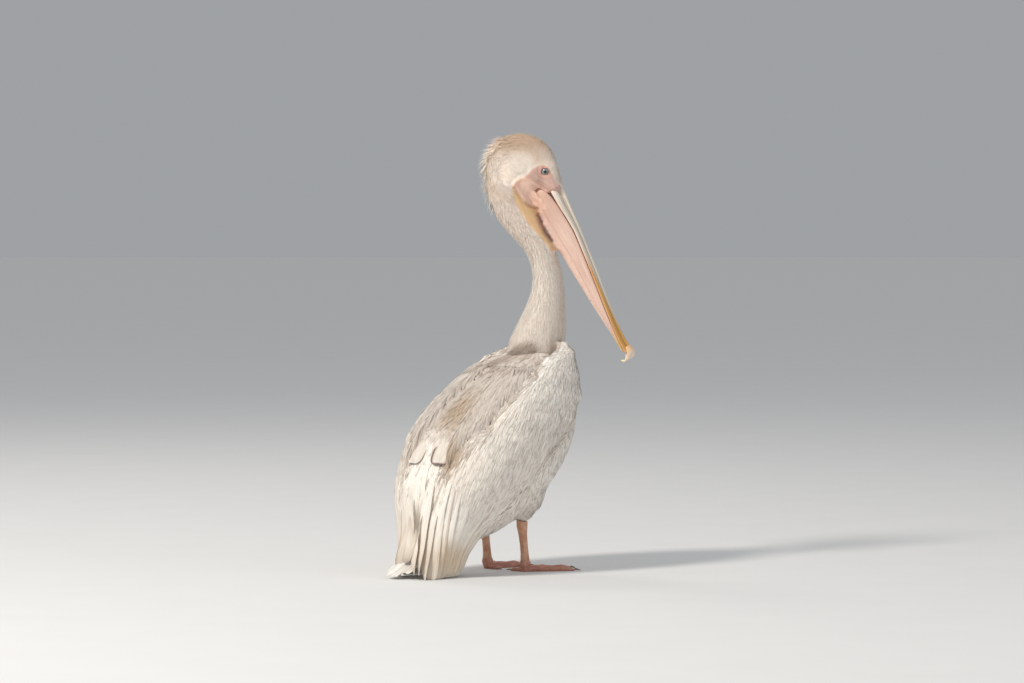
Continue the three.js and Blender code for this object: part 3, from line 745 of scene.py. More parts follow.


# %% [markdown]
# The order of the markings matters: body first, then neck and head, and brown streaks last of all.

# %% Colour of the plumage
def plumage(points, labels):
    """The colour of the plumage at each point."""
    height = points[:, 2]
    trunk, wing = is_part(labels, "trunk"), is_part(labels, "wing", "flight")
    back = np.maximum(is_part(labels, "scapulars"), trunk * ease(height, 0.27, 0.36))
    back *= ease(-points[:, 0], -0.16, -0.08)
    tan_end = spot(points, (-0.155, -0.066, 0.283), 0.05, 0.045, 0.06)
    neck = np.clip(ease(height, 0.425, 0.47) * (1 - wing), 0, 1)
    x, _, z = in_head(points).T
    crown = ease(height, 0.855, 0.9) * ease(-x, -34, 12) * ease(z, -96, -40)
    from_nape_turn = np.hypot(x + 25, z + 60)
    nape_band = ease(-from_nape_turn, -76, -58) * ease(from_nape_turn, 40, 55)
    ear = ease(-np.hypot((x + 22) / 1.25, z + 42), -34, -14)
    layers = [
        (0.85 * back, SHOULDER_GREY),
        (0.8 * ease(height, 0.395, 0.452) * trunk * ease(-points[:, 0], -0.19, -0.1), MANTLE_GREY),
        # the hollow of the back: tan, darkened as painted shade
        (0.8 * spot(points, (-0.09, -0.012, 0.345), 0.1, 0.052, 0.12) * back, TAN_AND_PAINTED_SHADE),
        # a patch low by the right wing's groove, in the same tan darkened as painted shade
        (0.75 * tan_end * np.maximum(back, wing), TAN_AND_PAINTED_SHADE),
        (0.3 * wing * ease(-height, -0.16, -0.02), STAIN_YELLOW),
        (0.6 * wing * ease(height, 0.44, 0.34) * ease(height, 0.14, 0.22), WING_GREY),
        # painted light: a patch low on the right wing is whitened, lifting the grey laid above it
        (wing * spot(points, (-0.19, -0.09, 0.14), 0.08), BRIGHT_WHITE),
        (0.45 * wing * spot(points, (-0.219, 0.02, 0.075), 0.024, 0.016, 0.05), STAIN_YELLOW),
        (0.45 * wing * spot(points, (-0.19, -0.06, 0.04), 0.06, 0.05, 0.05), STAIN_YELLOW),
        # painted shade: the left wing is greyed
        (0.35 * wing * ease(points[:, 1], -0.02, 0.03), SHOULDER_GREY),
        # painted shade: a grey line along the right wing's groove
        (0.5 * ease(-from_path(points, RIGHT_GROOVE), -9, -2), MANTLE_GREY),
        (neck, NECK_PALE),
        (0.6 * neck * ease(height, 0.6, 0.74), PEACH),
        (0.85 * crown, CROWN_TAN),
        (0.3 * nape_band * (height > 0.76), CROWN_TAN),
        (0.95 * ear * (height > 0.76), EAR_CREAM),
    ]
    for half_width, strength, path in STREAKS:
        away = from_path(points, path) / half_width
        layers.append((strength * ease(-away, -1.4, -0.4), STREAK_BROWN))
    return layered(WARM_WHITE, layers)


# %% [markdown]
# Bare skin is pink on the face, redder in a ring round the eye, and tan on the throat under the
# cheek's fold. The creases are darkened as painted shade, the more the deeper they are, and the
# throat's slit is painted dark as shade.

# %% Colour of bare skin
THROAT = [(4, -72), (20, -71), (42, -68), (59, -60), (69, -52), (85, -58), (122, -58), (160, -54)]
THROAT += [(178, -50), (178, -66), (128, -76), (87, -88), (49, -91), (0, -90)]


def bare_colour(points):
    """The colour of the bare skin at each point of the face, the throat and the pouch."""
    x, _, z = in_head(points).T
    layers = [
        (ease(inside(x, z, CHEEK), -2, 3), CHEEK_PINK),
        (ease(x, 60, 120), POUCH_PINK),
        (ease(inside(x, z, THROAT), -3, 3), THROAT_TAN),
        (0.85 * ease(-np.hypot(x - 5, z + 2), -15, -9), RING_PINK),
    ]
    # painted shade: each crease is darkened, the more the deeper it is
    for crease_depth, crease_width, crease_line in CREASES:
        strength = 0.12 + 0.13 * crease_depth
        layers.append((strength * hill(from_line(x, z, crease_line), crease_width), RING_PINK * 0.7))
    # painted shade: a dark line along the throat's slit
    layers.append((0.85 * hill(from_line(x, z, THROAT_SLIT), 3.4), PAINTED_SLIT_SHADE))
    return layered(FACE_PINK, layers)


# %% [markdown]
# Colours are stored on the skin's points, and the material reads them by name. The head's own frame
# is stored in the same way, for streaks that run along the pouch.

# %% Painting the skin
def paint_points(mesh, name, colours):
    layer = mesh.color_attributes.new(name, "FLOAT_COLOR", "POINT")
    with_alpha = np.concatenate([colours, np.ones((len(colours), 1))], 1)
    layer.data.foreach_set("color", with_alpha.astype(np.float32).ravel())


def number_points(mesh, name, values):
    layer = mesh.attributes.new(name, "FLOAT", "POINT")
    layer.data.foreach_set("value", np.asarray(values, np.float32))


skin_colours = blend(plumage(at, label), bare, bare_colour(at))
paint_points(skin.data, "marking", skin_colours)
paint_points(skin.data, "head_place", in_head(at) / 100)
number_points(skin.data, "bare", bare)
print("mean colour of the skin:", skin_colours.mean(0).round(2))

# %% [markdown]
# The skin's material mixes two finishes by one mask: under feathers it is soft, dull and finely
# ruffled, and where it is bare it is smoother and faintly moist, with fine streaks that run along
# the pouch. The streaks are a noise in the head's own frame, stretched along the bill.

# %% Skin material
skin_paint = Paint("pelican_skin")
skin_place = skin_paint.place()
bareness = skin_paint.attribute("bare")
head_place = skin_paint.attribute("head_place", "Vector")
fine = skin_paint.noise(skin_place, 420, 4)
wrinkle = skin_paint.noise(skin_place, 170, 5, 0.6)
fibres = skin_paint.noise(skin_paint.stretched(head_place, (2.2, 34, 34)), 1, 4, 0.6)
blush = skin_paint.noise(skin_place, 45, 3)
marking = skin_paint.attribute("marking", "Color")
flushed = skin_paint.mix(blush.between(0.42, 0.7) * bareness * 0.3, marking, rgb(222, 160, 144))
lined = skin_paint.mix(fibres.between(0.48, 0.3) * bareness * 0.35, flushed, rgb(196, 138, 120))
lined = skin_paint.mix(fibres.between(0.55, 0.72) * bareness * 0.3, lined, rgb(246, 226, 212))
skin_look = skin_paint.finish(
    lined,
    0.75 - bareness * 0.27,
    wrinkle * (0.2 + bareness * 0.35) + fibres * bareness * 0.6 + fine * 0.4,
    0.5,
    1.2 * MM,
)
skin.data.materials.append(skin_look)
skin.data.shade_smooth()
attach(skin, "root")
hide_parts(*FLESH)
print("skin material:", len(skin_paint.tree.nodes), "nodes")

# %% [markdown]
# Feathers need three things at any place on the skin: the point itself, the way out of the skin,
# and the way feathers lie there. A tree of the skin's faces finds the nearest place quickly, and
# means over each face's corners give its normal, its place and its bareness.

# %% Places on the skin
skin_faces = [tuple(face.vertices) for face in skin.data.polygons]
skin_tree = BVHTree.FromPolygons([Vector(p) for p in at], skin_faces)
corner_point = np.empty(len(skin.data.loops), np.int32)
skin.data.loops.foreach_get("vertex_index", corner_point)
face_size = np.array([len(f.vertices) for f in skin.data.polygons])
face_first = np.concatenate([[0], np.cumsum(face_size)[:-1]])


def face_mean(values):
    """The mean of a value over the corners of each face."""
    values = values.reshape(len(values), -1)
    return np.add.reduceat(values[corner_point], face_first) / face_size[:, None]


def unit(vectors):
    return vectors / np.maximum(np.linalg.norm(vectors, axis=1, keepdims=True), 1e-9)


face_normal = unit(face_mean(skin_normals))
face_centre = face_mean(at)
face_label = label[corner_point[face_first]]
face_bare = face_mean(bare)[:, 0]
face_area = np.array([f.area for f in skin.data.polygons])


def on_skin(points):
    """The nearest places on the skin: points, the faces they are on."""
    found = [skin_tree.find_nearest(Vector(p)) for p in points]
    return np.array([f[0] for f in found]), np.array([f[2] for f in found])


print("skin area:", round(float(face_area.sum()), 3), "m2")

# %% [markdown]
# The lie is worked out from the bird's own lines: back over the crown and down the nape, down the
# neck, down and back over the body, and round the bend of each wing towards its tip. It only needs
# to be roughly right off the surface, because it is laid flat on the skin in the end.

# %% The lie of the feathers
NECK_LINE = [(42, 376, 42), (56, 426, 56), (68, 470, 68), (78, 504, 74), (84, 532, 74), (90, 568, 74)]
NECK_LINE += [(91, 600, 74), (87, 632, 74), (79, 660, 74), (64, 690, 74), (45, 716, 74), (24, 746, 74)]
NECK_LINE += [(8, 780, 74), (4, 815, 74)]
DIAGONAL = math.sqrt(0.5)
to_side, up, away = np.array(NECK_LINE).T * MM
neck_line = np.stack(
    [(to_side + away) * DIAGONAL + BETWEEN_ANKLES.x, (away - to_side) * DIAGONAL, up], -1
)
neck_down = unit(-np.gradient(neck_line, axis=0))
SWIRL = (-20, -58)  # the feathers of the head turn about this place, from the forehead to the nape


def flat_on(normals, ways):
    return unit(ways - normals * np.sum(ways * normals, axis=1, keepdims=True))


def lie(points, normals, labels):
    """The way feathers lie at each point, from root to tip, along the skin."""
    height = points[:, 2:]
    ways = np.tile([-0.42, 0, -1.0], (len(points), 1))
    back = is_part(labels, "scapulars", "trunk")[:, None] & (normals[:, :1] < 0.25)
    ways = np.where(back, [-0.12, 0, -1.0], ways)
    wing = is_part(labels, "wing", "flight")[:, None]
    level = np.cross([0, 0, 1.0], normals)
    level *= np.where(level[:, :1] > 0, -1.0, 1.0)
    level = unit(level)
    sweep = along(normals[:, 0], (-0.8, 0.3), (0, 0.62), (0.7, 1.2))[:, None]
    sweep = sweep * ease(height, 0.0, 0.16)
    ways = np.where(wing, level * sweep + [0, 0, -1.0], ways)
    # neck and head
    to_neck = np.linalg.norm(points[:, None, :] - neck_line[None], axis=2)
    down_neck = neck_down[to_neck.argmin(1)]
    on_neck = (is_part(labels, "neck", "head", "pouch")[:, None] * 1.0) * ease(height, 0.4, 0.47)
    ways = ways * (1 - on_neck) + down_neck * on_neck
    x, _, z = in_head(points).T
    turn_x, turn_z = -(z - SWIRL[1]), x - SWIRL[0]
    reach = np.hypot(turn_x, turn_z)
    turning = (HEAD_AHEAD * turn_x[:, None] + HEAD_OUT * turn_z[:, None]) / np.maximum(reach, 1)[:, None]
    straight = -HEAD_AHEAD - 0.5 * HEAD_OUT
    share = ease(reach, 14, 46)[:, None]
    over_head = turning * share + straight * (1 - share)
    on_head = ease(height, 0.75, 0.8) * on_neck
    return flat_on(normals, ways * (1 - on_head) + over_head * on_head)


# %% [markdown]
# The skin is unwrapped flat, so that every place on it also has a place in a picture. A feather
# takes a tiny patch of that picture at its root's place, and a baked picture keeps its colour.

# %% An unwrap of the skin
def unwrap(piece, name):
    piece.data.uv_layers.new(name=name)
    bpy.context.view_layer.objects.active = piece
    piece.select_set(True)
    bpy.ops.object.mode_set(mode="EDIT")
    bpy.ops.mesh.select_all(action="SELECT")
    bpy.ops.uv.smart_project(angle_limit=math.radians(75), island_margin=0.001)
    bpy.ops.object.mode_set(mode="OBJECT")
    piece.select_set(False)
    flat = np.empty(len(piece.data.loops) * 2, np.float32)
    piece.data.uv_layers[name].uv.foreach_get("vector", flat)
    return flat.reshape(-1, 2)


skin_uv = unwrap(skin, "SkinMap")
face_uv = np.add.reduceat(skin_uv, face_first) / face_size[:, None]
print("unwrap spans", skin_uv.min(0).round(2), skin_uv.max(0).round(2))

# %% [markdown]
# Feathers grow at an even spacing with a little chance in it. Many random places are tried, and a
# grid of small cells keeps one place in each, which is much quicker than measuring every distance.

# %% Choosing roots
TRIES = 2.2  # random places for each one wanted
CELL = 0.8  # size of a cell, as a share of the spacing


def roots(rng, chosen, spacing):
    """Random places on the chosen faces, no two much closer than the spacing in millimetres."""
    faces = np.flatnonzero(chosen)
    area = face_area[faces]
    wanted = int(TRIES * area.sum() / (spacing * MM) ** 2)
    faces = rng.choice(faces, wanted, p=area / area.sum())
    places = face_centre[faces] + rng.normal(0, 0.6, (wanted, 3)) * np.sqrt(face_area[faces])[:, None]
    places -= face_normal[faces] * np.sum((places - face_centre[faces]) * face_normal[faces], 1)[:, None]
    cell = np.floor(places / (spacing * MM * CELL)).astype(int)
    _, first = np.unique(cell, axis=0, return_index=True)
    first.sort()
    return places[first], faces[first]


# %% [markdown]
# A feather or tuft is a thin closed vane: a few rings of points, for its two edges and its raised
# middle, that follow the skin from root to tip and rise a little on the way, so that each lies on
# the next like tiles. Modelling operators would take minutes over so many, so the points are worked
# out as arrays, ring by ring, and thousands of vanes are joined in one mesh.

# %% The shape of a vane
THIN = np.array([(-1, 0), (0, 1), (1, 0)], float)  # a vane's section: across, and share of its camber
ROLLED = np.array(
    [(-1, 0), (-0.55, 0.72), (-0.07, 1), (0, 1.5), (0.07, 1), (0.55, 0.72), (1, 0), (0, -0.3)], float
)


def vane_triangles(rings, columns):
    """The triangles of one vane, its points numbered ring by ring, closed at root and tip."""
    ring = np.arange(rings - 1)[:, None] * columns
    turn, fan = np.arange(columns), np.arange(1, columns - 1)
    a, b = ring + turn, ring + (turn + 1) % columns
    return np.concatenate([
        np.stack([a, b, b + columns], -1).reshape(-1, 3),
        np.stack([a, b + columns, a + columns], -1).reshape(-1, 3),
        np.stack([fan * 0, fan + 1, fan], -1),
        np.stack([fan * 0, fan, fan + 1], -1) + (rings - 1) * columns,
    ])


def feather_by_feather(values):
    """Rings x feathers x points x parts, as one row to a point."""
    return values.transpose(1, 0, 2, 3).reshape(-1, values.shape[-1])


print("a tuft of 3 rings:", len(vane_triangles(3, len(THIN))), "triangles")

# %% [markdown]
# A vane gives its material three numbers: how far across and how far along it a point lies, and a
# number of its own. It also gets a tiny patch of the skin's unwrap, at its root's place.

# %% Places on a vane
PATCH = 0.003


def places_on_vanes(section, rings, uv, chance):
    """Each point's place on its vane with the vane's number, and its place in the unwrap."""
    shape = (len(uv), rings, len(section))
    across = np.broadcast_to(section[:, 0] * 0.5, shape)
    reach = np.broadcast_to(np.linspace(0, 1, rings)[None, :, None], shape)
    chances = np.broadcast_to(chance[:, None, None], shape)
    patch = np.stack([across, reach - 0.5], -1) * PATCH + uv[:, None, None, :]
    return np.stack([across + 0.5, reach, chances], -1).reshape(-1, 3), patch.reshape(-1, 2)


# %% [markdown]
# Flat little faces would catch the light one by one, so a vane is shaded with the skin's own curve,
# turned a little towards its edges. Its underside is shaded the other way round, and sharp edges
# down both sides part the two.

# %% Shading a vane like the skin
def shade_like_skin(mesh, section, faces, under, normals):
    """Gives each corner its point's normal, turned round on the undersides."""
    last_column = np.argmax(section[:, 0])
    ends = np.empty(len(mesh.edges) * 2, np.int32)
    mesh.edges.foreach_get("vertices", ends)
    first, second = (ends.reshape(-1, 2) % len(section)).T
    sharp = (first == second) & ((first == 0) | (first == last_column))
    mesh.attributes.new("sharp_edge", "BOOLEAN", "EDGE").data.foreach_set("value", sharp)
    shading = unit(normals)[faces]
    shading[under] *= -1
    corners = mesh.attributes.new("custom_normal", "FLOAT_VECTOR", "CORNER")
    corners.data.foreach_set("vector", shading.astype(np.float32).ravel())


# %% [markdown]
# A class gathers feathers area by area and builds one piece of them all. No point goes below the
# floor.

# %% Vanes gathered in one mesh
VANE_ROUNDNESS = 0.3  # how far a vane's shading turns towards its edges
FLOOR_CLEARANCE = 0.8 * MM


class Vanes:
    """Feathers gathered for one mesh."""

    def __init__(self, section=THIN):
        self.section = section
        self.parts = []

    def add(self, centres, ups, ways, half_widths, camber, roll, colours, uv, chance):
        """centres, ups and ways are rings x feathers x 3, half_widths and camber rings x feathers."""
        sides = np.cross(ways, ups)
        sides /= np.maximum(np.linalg.norm(sides, axis=2, keepdims=True), 1e-9)
        roll = np.broadcast_to(roll, centres.shape[1])
        points, normals = [], []
        for across, lift in self.section:
            reach = (half_widths * across)[..., None]
            height = (camber * lift - roll * half_widths * across)[..., None]
            points.append(centres + sides * reach + ups * height)
            normals.append(ups + sides * (across * VANE_ROUNDNESS + roll)[:, None])
        at = np.stack(points, 2)
        colours = np.broadcast_to(np.broadcast_to(colours, centres.shape)[:, :, None], at.shape)
        self.parts.append((at, np.stack(normals, 2), colours, uv, chance))

    def all_rows(self, column):
        return np.concatenate([feather_by_feather(part[column]) for part in self.parts])

    def triangles(self):
        """All faces, and which of them are on a vane's underside."""
        columns = len(self.section)
        faces, under, start = [], [], 0
        for at, *_ in self.parts:
            rings, count = at.shape[:2]
            one = vane_triangles(rings, columns)
            below = np.tile(np.arange(columns) >= np.argmax(self.section[:, 0]), (rings - 1) * 2)
            firsts = start + np.arange(count) * rings * columns
            faces.append((one + firsts[:, None, None]).reshape(-1, 3))
            under.append(np.tile(np.pad(below, (0, len(one) - len(below))), count))
            start += count * rings * columns
        return np.concatenate(faces), np.concatenate(under)

    def build(self, name, look, coat=True):
        faces, under = self.triangles()
        places = [
            places_on_vanes(self.section, len(at), uv, chance) for at, _, _, uv, chance in self.parts
        ]
        on_vane, in_unwrap = (np.concatenate(rows) for rows in zip(*places))
        points = self.all_rows(0)
        points[:, 2] = np.maximum(points[:, 2], FLOOR_CLEARANCE)
        mesh = bpy.data.meshes.new(name)
        mesh.from_pydata(points.astype(np.float32), [], faces.astype(np.int32))
        paint_points(mesh, "marking", self.all_rows(2))
        paint_points(mesh, "vane", on_vane)
        if coat:
            low, high = in_unwrap.min(0), in_unwrap.max(0)
            spread = 0.01 + 0.98 * (in_unwrap - low) / (high - low)
            layer = mesh.uv_layers.new(name="OFBake")
            layer.uv.foreach_set("vector", spread[faces.ravel()].astype(np.float32).ravel())
        mesh.materials.append(look)
        mesh.shade_smooth()
        shade_like_skin(mesh, self.section, faces, under, self.all_rows(1))
        piece = link_mesh(name, mesh)
        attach(piece, "root")
        print(name, "triangles:", len(faces))
        return piece


# %% [markdown]
# A feather starts at its root and takes a few steps along the lie, each brought back to the skin.
# Where the skin falls away under it, it lets go and runs straight on, as a stiff feather does. It
# turns with the skin, but slowly, and never over into a fold.

# %% Following the skin
LET_GO = (0.45, 0.9)  # how far the skin may fall away, as shares of a step
TURNS = 0.6  # share of the skin's turn that a feather follows at each step
STEERS = 0.9  # how strongly the lie of the coat steers it


def follow(places, faces, lengths, rings, rng, stray=0.0):
    """Centre lines of feathers that start at places on the skin and follow the lie of the coat.

    With negative lengths the lines are traced against the lie, from tip to root."""
    at_now = places
    up = face_normal[faces]
    way = lie(at_now, up, face_label[faces])
    way = flat_on(up, way + stray * rng.normal(0, 1, way.shape))
    centres, ups, ways = [at_now], [up], [way]
    step = (lengths / (rings - 1) * MM)[:, None]
    for _ in range(rings - 1):
        ahead = at_now + way * step
        near, faces = on_skin(ahead)
        gap = np.linalg.norm(near - ahead, axis=1, keepdims=True)
        held = 1 - ease(gap / np.abs(step), *LET_GO)
        at_now = near * held + ahead * (1 - held)
        turn = TURNS * held * ease(np.sum(face_normal[faces] * up, axis=1, keepdims=True), 0.0, 0.5)
        up = unit(face_normal[faces] * turn + up * (1 - turn))
        turned = lie(near, up, face_label[faces])
        way = flat_on(up, way + STEERS * held * turned)
        centres.append(at_now)
        ups.append(up)
        ways.append(way)
    return np.array(centres), np.array(ups), np.array(ways)


def sweep_of(shape, rings):
    """A profile read at each ring."""
    return np.interp(np.linspace(0, 1, rings), np.linspace(0, 1, len(shape)), shape)


# %% [markdown]
# One function lays the coat on any part of the bird. What makes down, contour feathers or a crest
# is only their spacing, length, width, rise and disorder. Roots are sunk a little into the skin and
# tips rise over their neighbours.

# %% Laying a coat
SLENDER = (0.4, 0.8, 1, 1, 0.9, 0.62, 0.05)
FREE_TIP = 7 * MM  # feathers whose tips would stand further off the skin are left out


def clothe(vanes, rng, chosen, spacing, length, width, rise, rings=5, shape=SLENDER,
           camber=0.15, roll=0.06, stray=0.05, uneven=0.055, sink=0.6, painted_glow=1.0):
    """Lays feathers on the chosen faces. Length and width in millimetres may vary by root."""
    places, faces = roots(rng, chosen, spacing)
    count = len(places)
    size = rng.uniform(0.82, 1.18, count)
    lengths = (length(places) if callable(length) else np.full(count, float(length))) * size
    widths = (width(places) if callable(width) else np.full(count, float(width))) * size
    room = (places[:, 2] / MM - 3) * 1.15  # a feather ends above the floor
    lengths = np.minimum(lengths, np.maximum(room, 6))
    centres, ups, ways = follow(places, faces, lengths, rings, rng, stray)
    near, _ = on_skin(centres[-1])
    kept = np.linalg.norm(near - centres[-1], axis=1) < FREE_TIP
    places, faces, widths = places[kept], faces[kept], widths[kept]
    centres, ups, ways = centres[:, kept], ups[:, kept], ways[:, kept]
    count = len(places)
    risen = np.linspace(0, 1, rings)[:, None] ** 1.1 * rng.uniform(0.75, 1.2, count)
    heights = -sink + (rise + sink) * risen
    centres = centres + ups * (heights * MM)[..., None]
    half = sweep_of(shape, rings)[:, None] * widths * 0.5 * MM
    rolls = roll * rng.choice([-1, 1], count) * rng.uniform(0.3, 1.2, count)
    colours = plumage(places, face_label[faces]) * painted_glow
    colours = np.clip(colours * (1 + uneven * rng.normal(0, 1, (count, 1))), 0, 1)
    chance = rng.random(count) * 0.97
    vanes.add(centres, ups, ways, half, half * camber, rolls, colours, face_uv[faces], chance)


# %% [markdown]
# The feather material reads two numbers from each vane: how far across it a point lies and how
# far along. Barbs are fine streaks made of them, with painted shade darkening the streaks between
# them. Edges are darker: a little on every vane, as painted shade between overlapping feathers, and
# more on some feathers, by a number of their own, as brown edges. A few large feathers, marked by
# that number, have a brown fringe.

# %% Feather material
coat_paint = Paint("feather_vanes", Roughness=0.8, Sheen_Weight=0.22, Sheen_Roughness=0.5)
coat_place = coat_paint.place()
on_vane = coat_paint.attribute("vane", "Color")
vane_across, vane_reach, vane_chance = coat_paint.parts("SeparateColor", on_vane)
plume = coat_paint.attribute("marking", "Color")
from_shaft = abs(vane_across - 0.5) * 2
slanting = {0: vane_across * 9 - vane_reach * 3, 1: vane_reach * 5, 2: vane_chance * 90}
barb_place = coat_paint.node("CombineXYZ", {}, slanting)
barbs = coat_paint.noise(barb_place, 1, 4, 0.65)
streak = coat_paint.noise(coat_paint.stretched(coat_place, (240, 240, 50)), 1, 3, 0.6)
# painted shade: every vane darker towards its edges; more on some, as brown edges
edge_shade = from_shaft.between(0.45, 1.0) * (vane_chance.between(0.5, 0.95) * 0.55 + 0.16)
edged = coat_paint.mix(edge_shade, plume, rgb(188, 166, 146), "MULTIPLY")
# painted shade: darker streaks between the barbs
streaked = coat_paint.mix(barbs.between(0.58, 0.3) * 0.3, edged, rgb(178, 156, 138), "MULTIPLY")
fringe = from_shaft.between(0.7, 0.86).or_more(vane_reach.between(0.84, 0.93))
fringed = coat_paint.mix(fringe * vane_chance.between(0.98, 0.99) * 0.9, streaked, rgb(104, 80, 72))
coat_look = coat_paint.finish(fringed, None, barbs * 0.6 + streak * 0.6, 0.3, 0.5 * MM)
print("feather material:", len(coat_paint.tree.nodes), "nodes")

# %% [markdown]
# Contour feathers cover wings, body, thighs and shoulders. On the wings they grow longer and wider
# towards the foot of the wing, and at its bend they are short and small. Each area is a piece of
# its own, so that none gets too heavy.

# %% Contour feathers
rng = np.random.default_rng(7)
part_of_face = {start: is_part(face_label, start) for start in COAT_DEPTH}
over = face_centre[:, 2]


def wing_length(places):
    return along(places[:, 2], (0.02, 95), (0.15, 84), (0.28, 68), (0.36, 50), (0.42, 30), (0.46, 17))


def wing_width(places):
    return along(places[:, 2], (0.02, 8), (0.2, 6.6), (0.35, 5.2), (0.46, 3.6))


for side, sign in SIDES.items():
    on_side = face_centre[:, 1] * sign > 0
    wing_vanes = Vanes()
    chosen = (part_of_face["wing"] | part_of_face["flight"] & (over > 0.12)) & on_side
    clothe(wing_vanes, rng, chosen, 4.7, wing_length, wing_width, 1.7, rings=7, stray=0.04, uneven=0.08)
    wing_vanes.build(f"wing_coverts_{side}", coat_look)

body_vanes = Vanes()
chosen = part_of_face["trunk"] & (face_bare < 0.5)
clothe(body_vanes, rng, chosen, 5.9, 44, 6.4, 1.8, stray=0.06)
body_vanes.build("body_feathers", coat_look)
thigh_vanes = Vanes()
clothe(thigh_vanes, rng, part_of_face["thigh"], 4.2, 24, 3.2, 2.6, stray=0.15)
thigh_vanes.build("thigh_feathers", coat_look)
shoulder_vanes = Vanes()
chosen = part_of_face["scapulars"]
clothe(shoulder_vanes, rng, chosen, 5, 66, 6.5, 1.8, rings=7, stray=0.05)
shoulder_vanes.build("shoulder_feathers", coat_look)

# %% [markdown]
# The long flight feathers of a folded wing show only near its foot, side by side. Each is traced
# from its tip at the wing's foot upwards against the lie, so that every tip ends just where the
# wing's outline wants it. Inner feathers lie over outer ones, and each is tilted a little so that
# its outer edge stands over its neighbour.

# %% Tracing a feather from its tip
TIP_CROWDING = 1.6  # rings stand closer towards the tip by this power


def against_lie(tips, faces, lengths, rings, rng):
    """Centre lines traced from tip to root, given from root to tip, with rings crowded at the tip."""
    place = (rings - 1) * (1 - np.linspace(0, 1, rings)) ** TIP_CROWDING
    first = np.minimum(place.astype(int), rings - 2)
    share = (place - first)[:, None, None]
    lines = follow(tips, faces, -lengths, rings, rng)
    return [line[first] * (1 - share) + line[first + 1] * share for line in lines]


def colours_along(centres):
    """The plumage's colour at each ring of each feather."""
    flat = centres.reshape(-1, 3)
    _, faces = on_skin(flat)
    return plumage(flat, face_label[faces]).reshape(centres.shape)


# %% [markdown]
# The inmost feather of each wing ends high on the back with a broad round tip, brown-edged on the
# right wing. It lies over the others, in the same piece.

# %% Flight feathers
QUILLS = 12
QUILL_RINGS = 13
QUILL_ANGLES = (158, 56)  # degrees round the wing's foot, from its inmost tip to its foremost
QUILL_SHAPE = (0.6, 0.85, 1, 1, 1, 1, 1, 0.97, 0.88, 0.7, 0.35)
ROUND_TIP = (0.4, 0.5, 0.6, 0.7, 0.8, 0.9, 0.97, 1, 1, 0.96, 0.86, 0.66, 0.4)
# the inmost quills run on over the tail or beside it, this far in millimetres
RUN_ON = {"right": np.array([-36, -16, -47]), "left": np.array([-30, -24, -24])}
WING_AXIS_X = -0.177
# the outline of a wing's foot round that axis: angle, distance and height of the tips
WING_FOOT = [(45, 104, 4), (60, 103, 3), (75, 95, 3), (90, 89, 3), (105, 82, 3), (120, 71, 3)]
WING_FOOT += [(135, 64, 14), (150, 56, 50), (171, 46, 64)]
INMOST_LENGTH = 105.0
INMOST_HALF_WIDTH = 25 * MM

for side, sign in SIDES.items():
    order = np.linspace(0, 1, QUILLS)
    angle = QUILL_ANGLES[0] + (QUILL_ANGLES[1] - QUILL_ANGLES[0]) * order
    radius, foot = along(angle, *WING_FOOT).T
    turn = np.radians(angle) * sign
    rim = np.stack([WING_AXIS_X + radius * np.cos(turn) * MM, radius * np.sin(turn) * MM, foot * MM], -1)
    tips, faces = on_skin(rim)
    lengths = rng.uniform(185, 215, QUILLS)
    centres, ups, ways = against_lie(tips, faces, lengths, QUILL_RINGS, rng)
    run_on = np.clip(1 - order / 0.5, 0, 1) * ease(np.linspace(0, 1, QUILL_RINGS), 0.3, 1)[:, None]
    centres = centres + RUN_ON[side] * MM * run_on[..., None]
    rise = np.linspace(-1.2, 2.0, QUILL_RINGS)[:, None] + 1.6 * (1 - order)
    centres = centres + ups * (rise * MM)[..., None]
    half = sweep_of(QUILL_SHAPE, QUILL_RINGS)[:, None] * rng.uniform(12.5, 14, QUILLS) * MM
    shade = np.clip(colours_along(centres) * (1 + 0.03 * rng.normal(0, 1, (QUILLS, 1))), 0, 1)
    chance = rng.random(QUILLS) * 0.9
    quills = Vanes(ROLLED)
    quills.add(centres, ups, ways, half, half * 0 + 1.1 * MM, -0.11 * sign, shade, tips[:, :2], chance)

    # the inmost feather
    tips, faces = on_skin(np.array([(-0.194, sign * 0.038, 0.232)]))
    centres, ups, ways = against_lie(tips, faces, np.array([INMOST_LENGTH]), QUILL_RINGS, rng)
    centres = centres + ups * (np.linspace(-7, 7, QUILL_RINGS) * MM)[:, None, None]
    half = sweep_of(ROUND_TIP, QUILL_RINGS)[:, None] * INMOST_HALF_WIDTH
    shade = np.broadcast_to((SHOULDER_GREY + WARM_WHITE) / 2, centres.shape)
    fringed = np.array([1.0 if side == "right" else 0.2])
    quills.add(centres, ups, ways, half, half * 0.2, -0.05 * sign, shade, tips[:, :2], fringed)
    quills.build(f"flight_quills_{side}", coat_look, coat=False)

# %% [markdown]
# The tail is a small fan of stiff feathers that reaches the floor behind the wings. They all start
# from one place, the middle one lies on top and the outer ones are a little shorter.

# %% Tail
TAIL_ROOT = np.array([-0.150, 0, 0.094])
TAIL_TIP = np.array([-0.284, 0.014, 0.004])
TAIL_HALF_SPREAD = math.radians(12)
TAIL_FEATHERS = 11
TAIL_HALF_WIDTH = 9.5 * MM
TAIL_CAMBER = 0.9 * MM
TAIL_SHAPE = (0.5, 0.7, 0.85, 1, 1, 1, 1, 0.95, 0.82, 0.56, 0.2)

